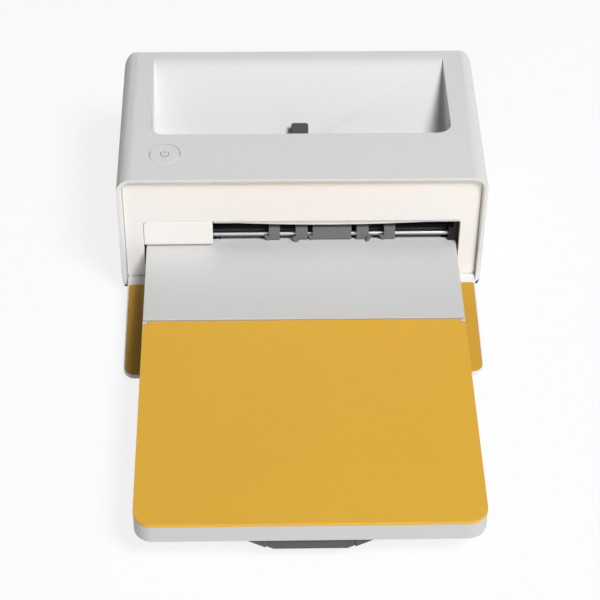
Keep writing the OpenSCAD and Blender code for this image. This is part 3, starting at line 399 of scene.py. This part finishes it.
def recess_solid(name, grow_mm, fillet_mm):
    """Space of the recess: its side view drawn across the width, with round corners and foot."""
    outline = recess_outline(grow_mm)
    half = sleeve_high.x / MM - RECESS_SIDE_MM + grow_mm
    shape = bmesh.new()
    side = shape.faces.new([shape.verts.new(at(-half, y, z)) for y, z in outline])
    swept = bmesh.ops.extrude_face_region(shape, geom=[side], use_keep_orig=True)
    bmesh.ops.translate(shape, vec=(2 * half * MM, 0, 0), verts=[
        item for item in swept["geom"] if isinstance(item, bmesh.types.BMVert)])
    bmesh.ops.recalc_face_normals(shape, faces=shape.faces)
    front_y = body_front + (RECESS_FRONT_MM - grow_mm) * MM
    corners = [e for e in shape.edges
               if all(abs(v.co.y - front_y) < SAME_PLACE_M for v in e.verts)
               and abs(e.verts[0].co.z - e.verts[1].co.z) > CORNER_LEAST_M]
    bmesh.ops.bevel(shape, geom=corners, offset=(RECESS_CORNER_MM + grow_mm) * MM, segments=10,
                    profile=0.5, affect="EDGES")
    if fillet_mm:
        fillet_foot(shape, fillet_mm, half)
    return made(name, shape, shell_white)


def fillet_foot(shape, fillet_mm, half):
    """Fillets the foot of the recess's walls, and lets the fillet taper off up the ramp."""
    shape.normal_update()
    feet = []
    for edge in shape.edges:
        tilts = sorted(edge.link_faces, key=lambda face: face.normal.z)
        wall = tilts[-1].normal
        if tilts[0].normal.z < FACES_DOWN and max(abs(wall.z), wall.y) < UPRIGHT_BELOW:
            feet.append(edge)
    bmesh.ops.bevel(shape, geom=feet, offset=fillet_mm * MM, segments=6, profile=0.5,
                    affect="EDGES", clamp_overlap=False)
    brow = [at(0, y, z) for y, z in recess_outline(0)[2:-2]]
    up = [Vector((0, -math.sin(ramp_slope * (1 - i / BROW_STEPS)),
                  math.cos(ramp_slope * (1 - i / BROW_STEPS)))) for i in range(len(brow))]
    for vert in shape.verts:
        inset = half * MM - abs(vert.co.x)
        if inset > fillet_mm * MM * FILLET_SLACK:
            continue
        side_place = Vector((0, vert.co.y, vert.co.z))
        for i, foot in enumerate(brow):
            away = side_place - foot
            rise = away.dot(up[i])
            off_brow = (away - up[i] * rise).length
            if -SAME_PLACE_M < rise < fillet_mm * MM * FILLET_SLACK and off_brow < ON_BROW_M:
                keep = FILLET_TOP_SHARE * (1 - i / len(brow))
                level = foot + up[i] * rise * keep
                vert.co = Vector((math.copysign(half * MM - inset * keep, vert.co.x),
                                  level.y, level.z))
                break


def soften_rim(piece, radius_mm):
    """Rounds the inner edge of the sleeve's front rim, which frames the front panel. The walls
    that the edge belongs to face the middle of the opening."""
    shape = bmesh.new()
    shape.from_mesh(piece.data)
    middle = Vector((0, 0, (sleeve_low.z + sleeve_high.z) / 2))
    inner = []
    for edge in shape.edges:
        if any(abs(vert.co.y - body_front) > SAME_PLANE_M for vert in edge.verts):
            continue
        walls = [face for face in edge.link_faces if abs(face.normal.y) < SIDEWAYS_BELOW]
        centre = (edge.verts[0].co + edge.verts[1].co) / 2
        if walls and walls[0].normal.dot(middle - Vector((centre.x, 0, centre.z))) > 0:
            inner.append(edge)
    bmesh.ops.bevel(shape, geom=inner, offset=radius_mm * MM, segments=5, profile=0.5,
                    affect="EDGES", clamp_overlap=False)
    shape.to_mesh(piece.data)
    shape.free()


shell_white = moulded("shell_white", SHELL_WHITE, roughness=0.45, tone=3)
sleeve = copied("outer_shell", "sleeve", shell_white)
combined(sleeve, "UNION", recess_solid("recess_filler", FILLER_OVER_MM, 0))
combined(sleeve, "DIFFERENCE", recess_solid("recess_cutter", 0, RECESS_FILLET_MM))
slot_corners = [at(side * PLUG_SLOT_W_MM / 2, y, RECESS_FLOOR_MM + off_floor)
                for side, y, off_floor in zip((-1, 1), PLUG_SLOT_Y_MM, PLUG_SLOT_OFF_FLOOR_MM)]
combined(sleeve, "DIFFERENCE", made("slot_cutter", block_shape(*slot_corners), shell_white))
soften_rim(sleeve, RIM_FILLET_MM)
rounded(sleeve, SLEEVE_EDGE_MM)
seat(sleeve, "housing", "shell_white", "outer_shell")

# Front panel: a flat moulding pushed into the sleeve behind its rim, of a warmer white.
panel_cream = moulded("panel_cream", (247, 244, 242), roughness=0.45, tone=3)
dressed("front_panel", "face_panel", panel_cream, "housing", "panel_cream", edge_mm=0.5)

# Power button: a round cap in the sleeve's top, flush with it, on a switch below. A thin grey
# A thin grey power sign is printed on the cap, and two short grey arcs beside it are painted shade
# of the gap around the cap.
FLAT_MARK_MM = 0.03
SIGN_R_MM = 1.9
SIGN_LINE_MM = 0.3
SIGN_GAP_DEG = 38
SIGN_BAR_MM = (-1.5, 0.5)
SHADE_ARC_R_MM = 6.55
SHADE_ARC_LINE_MM = 0.16
SHADE_ARC_HALF_DEG = 13

button_white = moulded("button_white", SHELL_WHITE, roughness=0.38, tone=3)
dressed("power_button", "power_cap", button_white, "power_button", "shell_white", edge_mm=0.25)
cap_low, cap_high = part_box("power_button")
cap_centre = (cap_low + cap_high) / 2
print_and_shade_finish = Finish("print_and_shade_grey", Specular_IOR_Level=0.3)
print_and_shade_tone = print_and_shade_finish.noise(900.0)
print_and_shade_finish.two_tone(print_and_shade_tone, (104, 104, 106), (120, 120, 122), roughness=0.5)


def plate_of(name, outlines, z, thick, material):
    """Flat prints or inlays: closed outlines in X and Y, given a thickness upwards."""
    shape = bmesh.new()
    for outline in outlines:
        shape.faces.new([shape.verts.new((x, y, z)) for x, y in outline])
    lifted = bmesh.ops.extrude_face_region(shape, geom=list(shape.faces), use_keep_orig=True)
    moved = [item for item in lifted["geom"] if isinstance(item, bmesh.types.BMVert)]
    bmesh.ops.translate(shape, verts=moved, vec=(0, 0, thick))
    bmesh.ops.recalc_face_normals(shape, faces=shape.faces)
    plate = made(name, shape, material)
    plate.data.shade_flat()
    return plate


def arc_band(centre, radius, width, start, end, steps=28):
    """Outline of a strip along an arc, with angles in degrees."""
    angles = [math.radians(start + (end - start) * i / steps) for i in range(steps + 1)]
    rims = [(radius + width / 2, angles), (radius - width / 2, angles[::-1])]
    return [(centre.x + r * math.cos(a), centre.y + r * math.sin(a)) for r, part in rims
            for a in part]


bar_half = SIGN_LINE_MM * MM / 2
bar_y = cap_centre.y + SIGN_R_MM * MM
bar_low, bar_high = SIGN_BAR_MM
sign = [
    arc_band(cap_centre, SIGN_R_MM * MM, SIGN_LINE_MM * MM, 90 + SIGN_GAP_DEG, 450 - SIGN_GAP_DEG),
    [(cap_centre.x + side * bar_half, bar_y + end * MM)
     for side, end in ((-1, bar_low), (1, bar_low), (1, bar_high), (-1, bar_high))],
# Two short grey arcs: painted shade of the gap around the cap.
] + [
    arc_band(cap_centre, SHADE_ARC_R_MM * MM, SHADE_ARC_LINE_MM * MM, facing - SHADE_ARC_HALF_DEG,
             facing + SHADE_ARC_HALF_DEG, 8)
    for facing in (0, 180)
]
power_sign_and_shade_arcs = plate_of("power_sign_and_shade_arcs", sign, cap_high.z, FLAT_MARK_MM * MM, print_and_shade_finish.material)
seat(power_sign_and_shade_arcs, "power_button", "dark_plastic")

# Outlet: a white block fills its left end and guides the sheet's edge. Its lower front edge
# curls under. Its plastic is whiter and smoother than the sleeve's.
block_white = moulded("block_white", (250, 247, 244), roughness=0.36, tone=3)
dressed("guide_block", "edge_guide", block_white, "housing", "block_white", edge_mm=0.5,
        segments=4)

# Apron: a thin light grey strip behind the outlet's upper edge, which bows down to its middle.
apron_grey = moulded("apron_grey", (252, 252, 252), roughness=0.5, tone=4)
dressed("exit_apron", "outlet_apron", apron_grey, "housing", "light_grey_plastic", edge_mm=0.15,
        segments=2)

# Guide bar: a grey moulded rail behind the outlet shaft that the shaft's bearings stand on.
# Its top and the upper part of its front are near black with a fine grain, as painted shade of the
# dark gap behind the outlet.
SHADE_BAND_MM = 1.7


def place_of(finish, axis):
    """One coordinate of the point that is shaded, in metres."""
    return finish.node("ShaderNodeSeparateXYZ", {}, {0: finish.place}, axis)


def below(finish, value, limit):
    """1 where the value is below the limit, and 0 elsewhere."""
    return finish.node("ShaderNodeMath", {"operation": "LESS_THAN"}, {0: value, 1: limit})


rail = Finish("rail_grey", Specular_IOR_Level=PLASTIC_SPECULAR)
rail_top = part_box("guide_bar")[1].z
# Near black above this height: painted shade of the dark gap behind the outlet.
below_shade_band = below(rail, place_of(rail, "Z"), rail_top - SHADE_BAND_MM * MM)
rail_grain = rail.noise(2400.0)
painted_shade_black = rail.between(rail_grain, paint(16, 16, 17), paint(30, 30, 31))
rail.drive(Base_Color=rail.between(below_shade_band, painted_shade_black, paint(124, 124, 126)),
           Roughness=rail_grain * 0.1 - below_shade_band * 0.35 + 0.85)
rail.bump(rail_grain, 0.25, 0.05 * MM)
dressed("guide_bar", "outlet_rail", rail.material, "housing", "grey_plastic", edge_mm=0.2,
        segments=2)

# Bearings: five dark clips hold the outlet shaft and keep the sheet down beside the rollers.
clip_grey = moulded("clip_grey", (122, 122, 124), roughness=0.42, tone=8)
dressed("exit_roller_holders", "shaft_clips", clip_grey, "housing", "dark_plastic", edge_mm=0.3,
        segments=3)

# Bracket: the black block at the right end of the outlet, in which the shaft turns.
bracket_black = moulded("bracket_black", (34, 34, 36), roughness=0.45, tone=8)
dressed("shaft_bracket", "end_bearing", bracket_black, "housing", "black_plastic", edge_mm=0.3,
        segments=2)

# Cassette: a light grey tray with a cover fixed on its rear end and a dark grip under its outer
# end, all moulded in plastic. The tray is a darker grey than the cover, painted shade on its front
# wall, and the grip's dark grey is a painted shadow of the tray on the table.
# Tray: a darker copy of the cover's grey, painted shade on the tray's front wall.
tray_grey = moulded("tray_grey", (203, 203, 203), roughness=0.42, tone=4)
dressed("cassette_tray", "tray", tray_grey, "cassette", "tray_grey", edge_mm=0.4)
cover_grey = moulded("cover_grey", (211, 211, 211), roughness=0.42, tone=4)
dressed("cassette_cover", "tray_cover", cover_grey, "cassette", "tray_grey", edge_mm=0.35)
# Grip: dark grey, a painted shadow of the tray on the table under its outer end.
grip_grey = moulded("grip_grey", (90, 90, 92), roughness=0.5, tone=6)
dressed("cassette_grip", "grip_painted_shadow", grip_grey, "cassette", "grip_grey", edge_mm=0.6)

# Ejector mark: a faint ring in the cover's rear right corner, left by the moulding tool, drawn as
# a flat ring of darker grey that is painted shade of a shallow groove.
EJECTOR_AT_MM = (69.0, 3.8)
EJECTOR_R_MM = 1.7
EJECTOR_LINE_MM = 0.25
cover_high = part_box("cassette_cover")[1]
ejector_centre = at(*EJECTOR_AT_MM, 0)
# Its darker grey is painted shade of the groove.
ejector_shade_grey = moulded("ring_shade_grey", (196, 196, 196), roughness=0.45, tone=4)
ejector_halves = [arc_band(ejector_centre, EJECTOR_R_MM * MM, EJECTOR_LINE_MM * MM, start,
                           start + 180, 12) for start in (0, 180)]
ejector_mark = plate_of("ejector_mark", ejector_halves, cover_high.z, FLAT_MARK_MM * MM, ejector_shade_grey)
seat(ejector_mark, "cassette", "tray_grey")

# Lid: the yellow leaf over the sheets, hinged at its rear edge and flush with the cover.
lid_yellow = moulded("lid_yellow", (232, 182, 68), roughness=0.42, tone=6)
dressed("cassette_lid", "tray_lid", lid_yellow, "cassette_lid", "lid_yellow", edge_mm=0.3)

# Front door: a white leaf laid open in front of the body, faced with the lid's yellow.
door_white = moulded("door_white", SHELL_WHITE, roughness=0.4, tone=4)
dressed("front_door", "door_leaf", door_white, "front_door", "shell_white", edge_mm=0.5)
liner_yellow = moulded("liner_yellow", (208, 160, 56), roughness=0.42, tone=6)
dressed("door_liner", "door_facing", liner_yellow, "front_door", "lid_yellow", edge_mm=0.4)

# Dock plug: dark grey, with its carrier.
plug_grey = moulded("plug_grey", (74, 74, 77), roughness=0.4, tone=6)
dressed("dock_plug", "phone_plug", plug_grey, "dock_plug", "dark_plastic", edge_mm=0.5)
dressed("plug_carrier", "plug_arm", plug_grey, "dock_plug", "dark_plastic", edge_mm=0.6)

# Rear panel: a white moulding in the back of the sleeve, with the slot that the sheet passes
# through and a hole for each socket.
dressed("rear_panel", "back_cover", shell_white, "housing", "shell_white", edge_mm=0.4)

# Sockets: a power inlet in black plastic with a steel pin, and a small steel data port with a
# black tongue. Both are soldered to the wiring inside and end flush with the rear panel.
PIN_R_MM = 1.1
TONGUE_MM = (6.4, 5.5, 0.7)
TONGUE_DEPTH_MM = 1.6


def finished(material, *nodes):
    """Gives solids that keep their own mesh their finish."""
    for node in nodes:
        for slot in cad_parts[node].material_slots:
            slot.material = material


jack_low, jack_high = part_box("power_jack")
jack_centre = (jack_low + jack_high) / 2
jack = Finish("socket_black", Specular_IOR_Level=0.4)
off_x = place_of(jack, "X") - jack_centre.x
off_z = place_of(jack, "Z") - jack_centre.z
in_pin = below(jack, off_x * off_x + off_z * off_z, (PIN_R_MM * MM) ** 2)
jack_tone = jack.noise(600.0)
jack_black = jack.between(jack_tone, paint(26, 26, 27), paint(36, 36, 38))
jack.drive(Base_Color=jack.between(in_pin, jack_black, paint(205, 205, 208)), Metallic=in_pin,
           Roughness=jack_tone * 0.1 + 0.4 - in_pin * 0.15)
dressed("power_jack", "power_inlet", jack.material, "housing", "black_plastic", edge_mm=0.25)

steel = Finish("bright_steel", Metallic=1.0)
steel_tone = steel.noise(90.0, 3.0, (0.04, 1, 1))
steel.two_tone(steel_tone, (150, 152, 156), (178, 180, 184), roughness=0.3, span=0.12)
dressed("usb_port", "data_port", steel.material, "housing", "port_steel", edge_mm=0.12, segments=2)
port_low, port_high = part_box("usb_port")
port_centre = (port_low + port_high) / 2
tongue_half = Vector(TONGUE_MM) * MM / 2
tongue_centre = Vector((port_centre.x, port_high.y - TONGUE_DEPTH_MM * MM - tongue_half.y,
                        port_centre.z))
port_black = moulded("port_black", (30, 30, 32), roughness=0.45, tone=6)
tongue = made("port_tongue", block_shape(tongue_centre - tongue_half, tongue_centre + tongue_half),
              port_black)
rounded(tongue, edge_mm=0.15, segments=2)
seat(tongue, "housing", "black_plastic")

# Underside: a grey floor moulding, screwed to both frames from below, on four rubber feet
# that are glued into place.
base_grey = moulded("base_grey", (196, 196, 198), roughness=0.5, tone=6)
dressed("base_plate", "floor_moulding", base_grey, "housing", "base_grey", edge_mm=0.4)
foot_rubber = moulded("foot_rubber", (58, 58, 60), roughness=0.75, tone=12, grain_mm=0.35,
                      grain=0.3)
dressed("rubber_feet", "soft_feet", foot_rubber, "housing", "foot_rubber", edge_mm=0.9, segments=4)
dressed("frame_screws", "floor_screws", steel.material, "housing", "shaft_steel", edge_mm=0.1,
        segments=2)

# Frames: two zinc-plated sheet steel sides that every shaft runs between, with sintered bronze
# bushes pressed in. Zinc shows as soft patches of lighter and darker grey.
zinc = Finish("zinc_sheet", Metallic=1.0)
patches = zinc.node("ShaderNodeTexVoronoi", {}, {"Vector": zinc.place, "Scale": 260.0}, "Color")
grey_patch = zinc.node("ShaderNodeRGBToBW", {}, {0: patches})
zinc.two_tone(grey_patch, (142, 146, 150), (172, 176, 180), roughness=0.36, span=0.14)
finished(zinc.material, "left_frame", "right_frame", "head_arm", "pressure_plate")
bronze = Finish("bush_bronze", Metallic=1.0)
bronze_tone = bronze.noise(2600.0)
bronze.two_tone(bronze_tone, (140, 104, 62), (186, 146, 92), roughness=0.4, span=0.2)
finished(bronze.material, "shaft_bushes")
guide_grey = moulded("guide_grey", (104, 104, 108), roughness=0.5, tone=8)
finished(guide_grey, "lower_guide")

# Shafts and pins: ground steel. The rollers on them are black rubber, with a dull dry surface.
finished(steel.material, "exit_shaft", "pick_shaft", "capstan", "platen_shaft", "hinge_pins",
         "lid_hinge_pins", "lift_spring")
roller_rubber = moulded("roller_rubber", (44, 44, 46), roughness=0.7, tone=10, grain_mm=0.3,
                        grain=0.25)
finished(roller_rubber, "exit_rollers", "pick_rollers", "pinch_roller", "platen_roller")

# Gears: moulded in ivory acetal, slightly waxy. They lie in one row outside the left frame.
ivory = moulded("gear_ivory", (232, 224, 204), roughness=0.38, tone=8, grain_mm=0.3, grain=0.08)
finished(ivory, "exit_gear", "pick_gear", "capstan_gear", "platen_gear", "take_up_gear",
         "reduction_gear", "idler_gear")

# Motor: a drawn steel can with fine lines around it, and a brass pinion on its shaft.
can = Finish("motor_can", Metallic=1.0)
can_lines = can.noise(900.0, 2.0, (1, 0.05, 0.05))
can.two_tone(can_lines, (150, 152, 155), (188, 190, 193), roughness=0.26, span=0.14)
can.bump(can_lines, 0.15, 0.02 * MM)
dressed("motor", "drive_motor", can.material, "housing", "motor_steel", edge_mm=0.8, segments=4)
brass = Finish("pinion_brass", Metallic=1.0)
brass_tone = brass.noise(1500.0)
brass.two_tone(brass_tone, (178, 142, 70), (208, 174, 98), roughness=0.28, span=0.12)
finished(brass.material, "motor_pinion")

# Circuit boards: green laminate with dark parts soldered on. Fine tracks run through the green,
# and rows of small parts stand on the front of the main board.
BOARD_T_MM = 1.6
BOARD_BACK_GAP_MM = 2.0
BOARD_SKIN_MM = 0.05
SWITCH_BOARD_T_MM = 1.25
TRACK_SCALE = 520.0
TRACK_SHARE = 0.09
SMALL_PARTS_ACROSS, SMALL_PARTS_UP = 26, 5
SMALL_PART_MM = (1.6, 0.7, 0.9)
SMALL_PART_DRIFT_MM = Vector((0.6, 0, 0.5))
SMALL_PARTS_EDGE_MM = 2.0
LAYOUT_SEED = 7


class Layout(Graph):
    """A Geometry Nodes tree whose sizes are named inputs."""

    def __init__(self, name):
        self.tree = bpy.data.node_groups.new(name, "GeometryNodeTree")
        super().__init__(self.tree)
        self.tree.interface.new_socket("Geometry", in_out="OUTPUT",
                                       socket_type="NodeSocketGeometry")
        self.entry = self.nodes.new("NodeGroupInput")
        self.values = {}

    def size(self, name, value, kind="Float"):
        """A named input of the tree, which the modifier sets."""
        item = self.tree.interface.new_socket(name, in_out="INPUT",
                                              socket_type="NodeSocket" + kind)
        self.values[item.identifier] = value
        return Sock(self, self.entry.outputs[name])

    def scattered(self, points, low, high):
        """The points, each moved by its own random amount between two limits."""
        drift = self.node("FunctionNodeRandomValue", {"data_type": "FLOAT_VECTOR"}, {
            0: low, 1: high, "Seed": self.size("seed", LAYOUT_SEED, "Int")})
        return self.node("GeometryNodeSetPosition", {}, {"Geometry": points, "Offset": drift})

    def boxes_on(self, points, size):
        """A box of the given size on every point."""
        box = self.node("GeometryNodeMeshCube", {}, {"Size": size})
        return self.node("GeometryNodeInstanceOnPoints", {}, {"Points": points, "Instance": box})

    def built(self, geometry, material):
        """The tree's result as a piece with a plain mesh and one material."""
        real = self.node("GeometryNodeRealizeInstances", {}, {0: geometry})
        coated = self.node("GeometryNodeSetMaterial", {}, {0: real, "Material": material})
        end = self.nodes.new("NodeGroupOutput")
        self.links.new(coated.socket, end.inputs[0])
        piece = bpy.data.objects.new(self.tree.name, bpy.data.meshes.new(self.tree.name))
        bpy.context.scene.collection.objects.link(piece)
        maker = piece.modifiers.new("layout", "NODES")
        maker.node_group = self.tree
        for identifier, value in self.values.items():
            maker[identifier] = value
        settle(piece)
        return piece


def board_finish(name, axis, part_from):
    """Green laminate, black where part_from says that a part stands out of it."""
    finish = Finish(name, Specular_IOR_Level=0.4)
    tracks = finish.node("ShaderNodeTexVoronoi", {"feature": "DISTANCE_TO_EDGE"},
                         {"Vector": finish.place, "Scale": TRACK_SCALE})
    track = below(finish, tracks, TRACK_SHARE)
    green = finish.between(track, paint(30, 92, 58), paint(56, 124, 82))
    part = part_from(finish, place_of(finish, axis))
    finish.drive(Base_Color=finish.between(part, green, paint(38, 38, 40)),
                 Roughness=part * 0.15 + 0.35)
    return finish


board_low, board_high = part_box("main_board")
board_face_y = board_high.y - (BOARD_T_MM + BOARD_BACK_GAP_MM) * MM
main_green = board_finish("board_green", "Y", lambda finish, y: below(
    finish, y, board_face_y - BOARD_SKIN_MM * MM))
finished(main_green.material, "main_board")
switch_top_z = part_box("button_board")[0].z + SWITCH_BOARD_T_MM * MM
button_green = board_finish("switch_board_green", "Z", lambda finish, z: 1 - below(
    finish, z, switch_top_z))
finished(button_green.material, "button_board")

parts = Layout("board_parts")
board_w = board_high.x - board_low.x - 2 * SMALL_PARTS_EDGE_MM * MM
board_h = board_high.z - board_low.z - 2 * SMALL_PARTS_EDGE_MM * MM
grid = parts.node("GeometryNodeMeshGrid", {}, {
    "Size X": parts.size("area_w", board_w), "Size Y": parts.size("area_h", board_h),
    "Vertices X": parts.size("across", SMALL_PARTS_ACROSS, "Int"),
    "Vertices Y": parts.size("up", SMALL_PARTS_UP, "Int")})
upright = parts.node("GeometryNodeTransform", {}, {
    "Geometry": grid, "Translation": ((board_low.x + board_high.x) / 2, board_face_y,
                                      (board_low.z + board_high.z) / 2),
    "Rotation": (math.pi / 2, 0, 0)})
drift_limit = SMALL_PART_DRIFT_MM * MM
loose = parts.scattered(upright, -drift_limit, drift_limit)
small = parts.boxes_on(loose, parts.size("part", [v * MM for v in SMALL_PART_MM], "Vector"))
part_tan = moulded("part_tan", (120, 96, 70), roughness=0.5, tone=30)
board_parts = parts.built(small, part_tan)
seat(board_parts, "housing", "dark_plastic")

# Ribbon cartridge: two end plates carry a supply spool and a take-up spool. A dye ribbon as wide
# as the sheet runs between them under the print head. It is glossy film, wound tight.
END_PLATE_T_MM = 1.5
SPOOL_GAP_MM = 0.4
SPOOL_FLANGE_MM = 1.0
FLANGE_SKIN_MM = 0.1
cartridge_black = moulded("cartridge_black", (52, 53, 58), roughness=0.45, tone=8)
dressed("cartridge_frame", "cartridge_ends", cartridge_black, "housing", "dark_plastic",
        edge_mm=0.25, segments=2)
cart_low, cart_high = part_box("cartridge_frame")
ribbon_in_mm = END_PLATE_T_MM + SPOOL_GAP_MM + SPOOL_FLANGE_MM + FLANGE_SKIN_MM
film = Finish("ribbon_film", Specular_IOR_Level=0.6)
film_lines = film.noise(70.0, 4.0, (1, 0.02, 0.02))
film.two_tone(film_lines, (58, 30, 24), (86, 46, 36), roughness=0.14)
finished(film.material, "ribbon_film")
wound = Finish("wound_ribbon", Specular_IOR_Level=0.5)
wound_x = place_of(wound, "X")
on_core = 1 - (1 - below(wound, wound_x, cart_low.x + ribbon_in_mm * MM)) * below(
    wound, wound_x, cart_high.x - ribbon_in_mm * MM)
wound_lines = wound.noise(420.0, 3.0, (1, 0.02, 0.02))
wound_brown = wound.between(wound_lines, paint(58, 30, 24), paint(92, 52, 40))
wound.drive(Base_Color=wound.between(on_core, wound_brown, paint(60, 60, 64)),
            Roughness=on_core * 0.25 + wound_lines * 0.1 + 0.16)
finished(wound.material, "supply_spool", "take_up_spool")

# Print head: a ceramic heater strip under an aluminium heat sink with thin upright fins. Both
# are screwed to a sheet steel arm that pivots behind them and lets the head lift off the sheet.
HEATER_TOP_MM = 4.0
head = Finish("head_ceramic", Specular_IOR_Level=0.4)
head_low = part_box("print_head")[0]
heater = below(head, place_of(head, "Z"), head_low.z + HEATER_TOP_MM * MM)
head_tone = head.noise(900.0, 3.0, (1, 0.08, 1))
metal = head.between(head_tone, paint(168, 170, 174), paint(196, 198, 202))
head.drive(Base_Color=head.between(heater, metal, paint(58, 54, 50)), Metallic=1 - heater,
           Roughness=head_tone * 0.12 + 0.34)
finished(head.material, "print_head")

# Cradle: two cheeks under the recess's floor, between which the plug's arm tilts on a pin.
cradle_grey = moulded("cradle_grey", (112, 112, 116), roughness=0.5, tone=8)
dressed("dock_cradle", "arm_cradle", cradle_grey, "housing", "grey_plastic", edge_mm=0.25,
        segments=2)

# Side door: a white leaf in the sleeve's right side, hinged at its front edge. The ribbon
# cartridge goes in and out behind it. A finger dip at its back edge opens it.
dressed("cartridge_door", "side_door", shell_white, "cartridge_door", "shell_white", edge_mm=0.45)

# Sheets: a stack of white photo paper on the sprung plate. Cut edges show one by one, because
# no two sheets lie quite flush.
SHEETS = 18
SHEET_AIR_MM = 0.015
SHEET_SHIFT_MM = 0.22
sheet_low, sheet_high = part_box("paper_stack")
sheet_pitch = (sheet_high.z - sheet_low.z) / SHEETS
shift = SHEET_SHIFT_MM * MM
sheet_size = Vector((sheet_high.x - sheet_low.x - 2 * shift,
                     sheet_high.y - sheet_low.y - 2 * shift, sheet_pitch - SHEET_AIR_MM * MM))
stack = Layout("sheet_stack")
pile = stack.node("GeometryNodeMeshLine", {}, {
    "Count": stack.size("sheets", SHEETS, "Int"),
    "Start Location": ((sheet_low.x + sheet_high.x) / 2, (sheet_low.y + sheet_high.y) / 2,
                       sheet_low.z + sheet_pitch / 2),
    "Offset": (0, 0, sheet_pitch)})
shifted = stack.scattered(pile, (-shift, -shift, 0), (shift, shift, 0))
sheets = stack.boxes_on(shifted, stack.size("sheet", list(sheet_size), "Vector"))
paper = Finish("photo_paper", Specular_IOR_Level=0.4)
paper_tone = paper.noise(900.0)
paper.two_tone(paper_tone, (240, 239, 236), (249, 248, 246), roughness=0.45)
sheet_stack = stack.built(sheets, paper.material)
seat(sheet_stack, "sheet_lift", "paper_white", "paper_stack")
